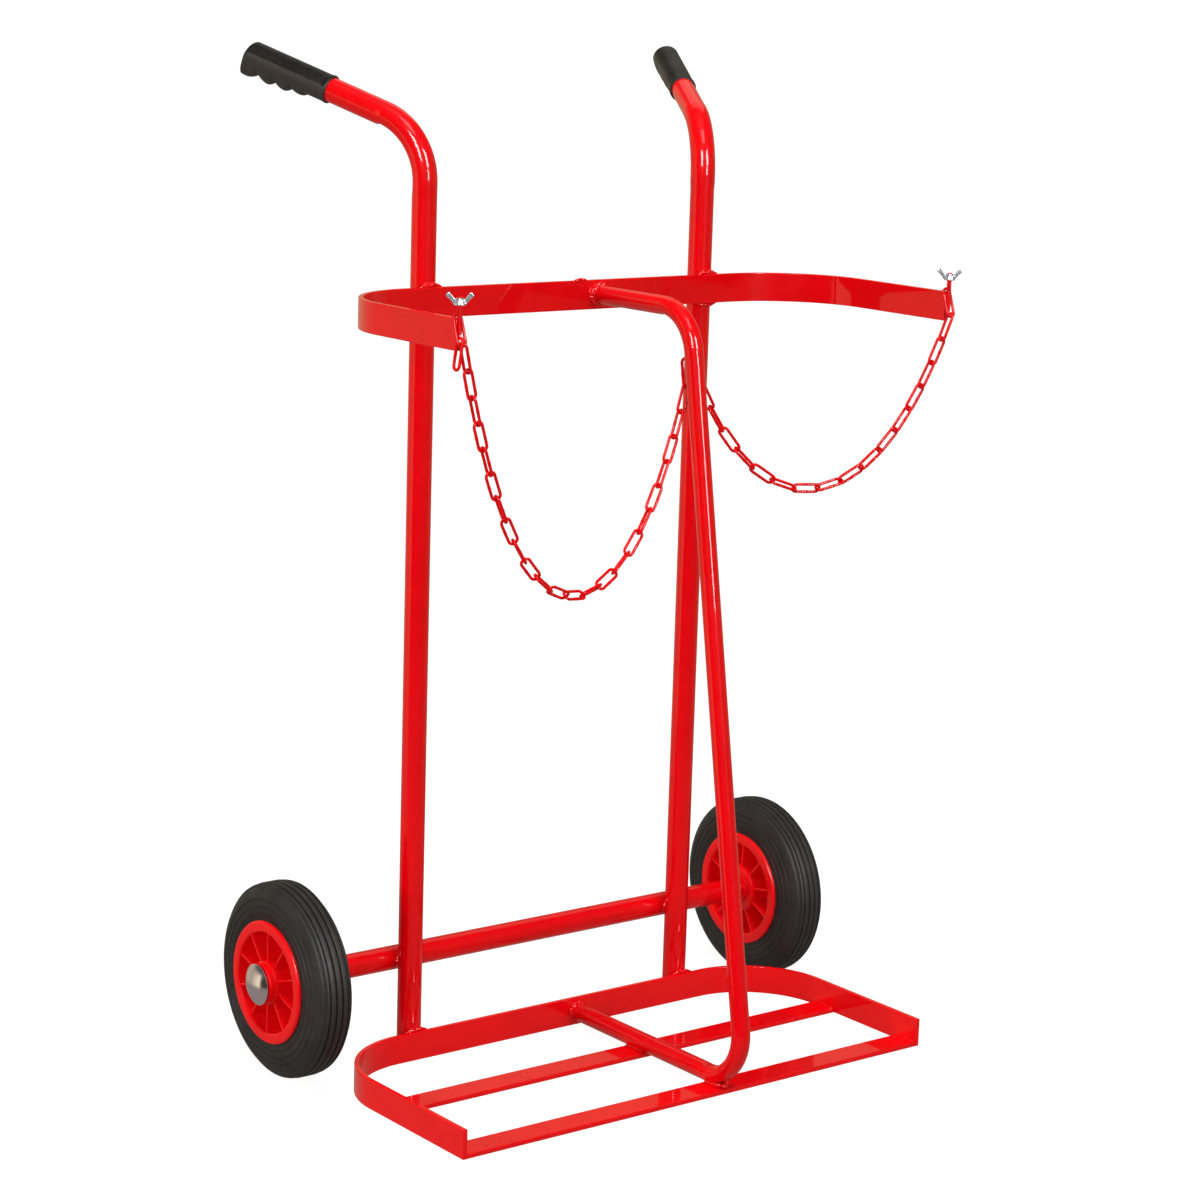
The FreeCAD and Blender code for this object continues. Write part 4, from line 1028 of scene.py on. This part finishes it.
stage_piece("studio_floor", [(0.35, 0.0), (0.8, 0.0), (1.6, 0.0), (3.0, 0.0)], studio("studio_pale", 0.20, 0.93), True)
wall = stage_piece("studio_wall", [(3.0, 0.0), (5.0, 0.0)] + [
    (5.0 + 3.0 * math.sin(math.radians(a)), 3.0 - 3.0 * math.cos(math.radians(a))) for a in range(6, 91, 6)] + [
    (8.0, 7.0), (7.0, 9.0), (3.0, 10.0), (0.2, 10.2)], studio("studio_white", 0.0, 1.05), False)
wall.visible_shadow = False

# Surroundings that the gloss sees: white behind and to the left, dark in front.
world = bpy.data.worlds.new("studio")
scene.world = world
world.use_nodes = True
nt = world.node_tree
bg = nt.nodes["Background"]
tc = nt.nodes.new("ShaderNodeTexCoord")
sep = nt.nodes.new("ShaderNodeSeparateXYZ")
nt.links.new(tc.outputs["Generated"], sep.inputs[0])
ang = nt.nodes.new("ShaderNodeMath")
ang.operation = "ARCTAN2"
nt.links.new(sep.outputs["Y"], ang.inputs[0])
nt.links.new(sep.outputs["X"], ang.inputs[1])
unit = nt.nodes.new("ShaderNodeMapRange")
unit.inputs["From Min"].default_value = -math.pi
unit.inputs["From Max"].default_value = math.pi
nt.links.new(ang.outputs[0], unit.inputs["Value"])
ramp = nt.nodes.new("ShaderNodeValToRGB")
nt.links.new(unit.outputs["Result"], ramp.inputs["Fac"])


def at_azimuth(deg):
    return ((deg + 180.0) % 360.0) / 360.0


stops = [(-177.0, 0.04), (-140.0, 0.012), (-75.0, 0.02), (-45.0, 0.20), (0.0, 0.30), (20.0, 0.26), (48.0, 0.36), (95.0, 0.48), (130.0, 0.45), (150.0, 0.72), (169.5, 1.02), (177.0, 0.06)]
el = ramp.color_ramp.elements
while len(el) < len(stops):
    el.new(0.5)
for e, (deg, v) in zip(el, sorted((at_azimuth(a), v) for a, v in stops)):
    e.position = deg
    e.color = (v * 1.12, v, v * 0.68, 1.0)
# overhead part of the surroundings
lift = nt.nodes.new("ShaderNodeMapRange")
lift.interpolation_type = "SMOOTHSTEP"
lift.inputs["From Min"].default_value = 0.25
lift.inputs["From Max"].default_value = 0.52
nt.links.new(sep.outputs["Z"], lift.inputs["Value"])
mixn = nt.nodes.new("ShaderNodeMix")
mixn.data_type = "RGBA"
nt.links.new(lift.outputs["Result"], mixn.inputs["Factor"])
nt.links.new(ramp.outputs["Color"], mixn.inputs["A"])
mixn.inputs["B"].default_value = (0.09, 0.09, 0.09, 1.0)
# pale floor seen in the gloss of the lower parts
drop = nt.nodes.new("ShaderNodeMapRange")
drop.inputs["From Min"].default_value = -0.20
drop.inputs["From Max"].default_value = -0.30
nt.links.new(sep.outputs["Z"], drop.inputs["Value"])
mixf = nt.nodes.new("ShaderNodeMix")
mixf.data_type = "RGBA"
nt.links.new(drop.outputs["Result"], mixf.inputs["Factor"])
nt.links.new(mixn.outputs["Result"], mixf.inputs["A"])
mixf.inputs["B"].default_value = (0.30, 0.27, 0.23, 1.0)
nt.links.new(mixf.outputs["Result"], bg.inputs["Color"])
bg.inputs["Strength"].default_value = 1.0
world.cycles.sampling_method = "NONE"


def area(name, azimuth, elevation, dist, width, height, radiance, aim=(0.0, 0.0, 0.5), glossy=True, diffuse=True, colour=(1, 1, 1)):
    """Area light placed by direction from the aim point, azimuth from +X towards +Y."""
    a, e = math.radians(azimuth), math.radians(elevation)
    d = Vector((math.cos(a) * math.cos(e), math.sin(a) * math.cos(e), math.sin(e)))
    ld = bpy.data.lights.new(name, "AREA")
    ld.shape, ld.size, ld.size_y = "RECTANGLE", width, height
    ld.energy = radiance * math.pi * width * height
    ld.color = colour
    ob = bpy.data.objects.new(name, ld)
    scene.collection.objects.link(ob)
    ob.location = Vector(aim) + d * dist
    ob.rotation_euler = d.to_track_quat("Z", "Y").to_euler()
    ob.visible_camera = False
    ob.visible_glossy = glossy
    ob.visible_diffuse = diffuse
    return ob


area("window_right", 277.0, 24.0, 4.0, 1.05, 1.45, 26.0, aim=(0.0, 0.0, 0.85), diffuse=False)
area("window_left", 226.0, 25.0, 4.0, 1.05, 1.70, 26.0, aim=(0.0, 0.0, 0.85), diffuse=False)
area("window_low", 273.0, 5.5, 4.0, 0.75, 0.80, 22.0, aim=(0.0, 0.0, 0.85), diffuse=False)
area("window_above", 250.0, 60.0, 4.0, 1.60, 1.50, 3.4, aim=(0.0, 0.0, 0.85), diffuse=False)
area("panel_behind", 49.0, 47.0, 4.0, 3.20, 2.45, 0.62, aim=(0.0, 0.0, 0.85), diffuse=False, colour=(1.0, 0.94, 0.78))
area("key_left", 172.0, 12.0, 6.5, 4.0, 2.6, 5.8, aim=(0.0, 0.0, 0.3), glossy=False)
area("key_middle", 226.0, 12.0, 6.5, 4.0, 2.6, 2.85, aim=(0.0, 0.0, 0.3), glossy=False)
area("key_right", 273.0, 12.0, 6.5, 4.0, 2.6, 5.7, aim=(0.0, 0.0, 0.3), glossy=False)
area("key_top", 230.0, 80.0, 5.0, 3.0, 3.0, 8.2, glossy=False)
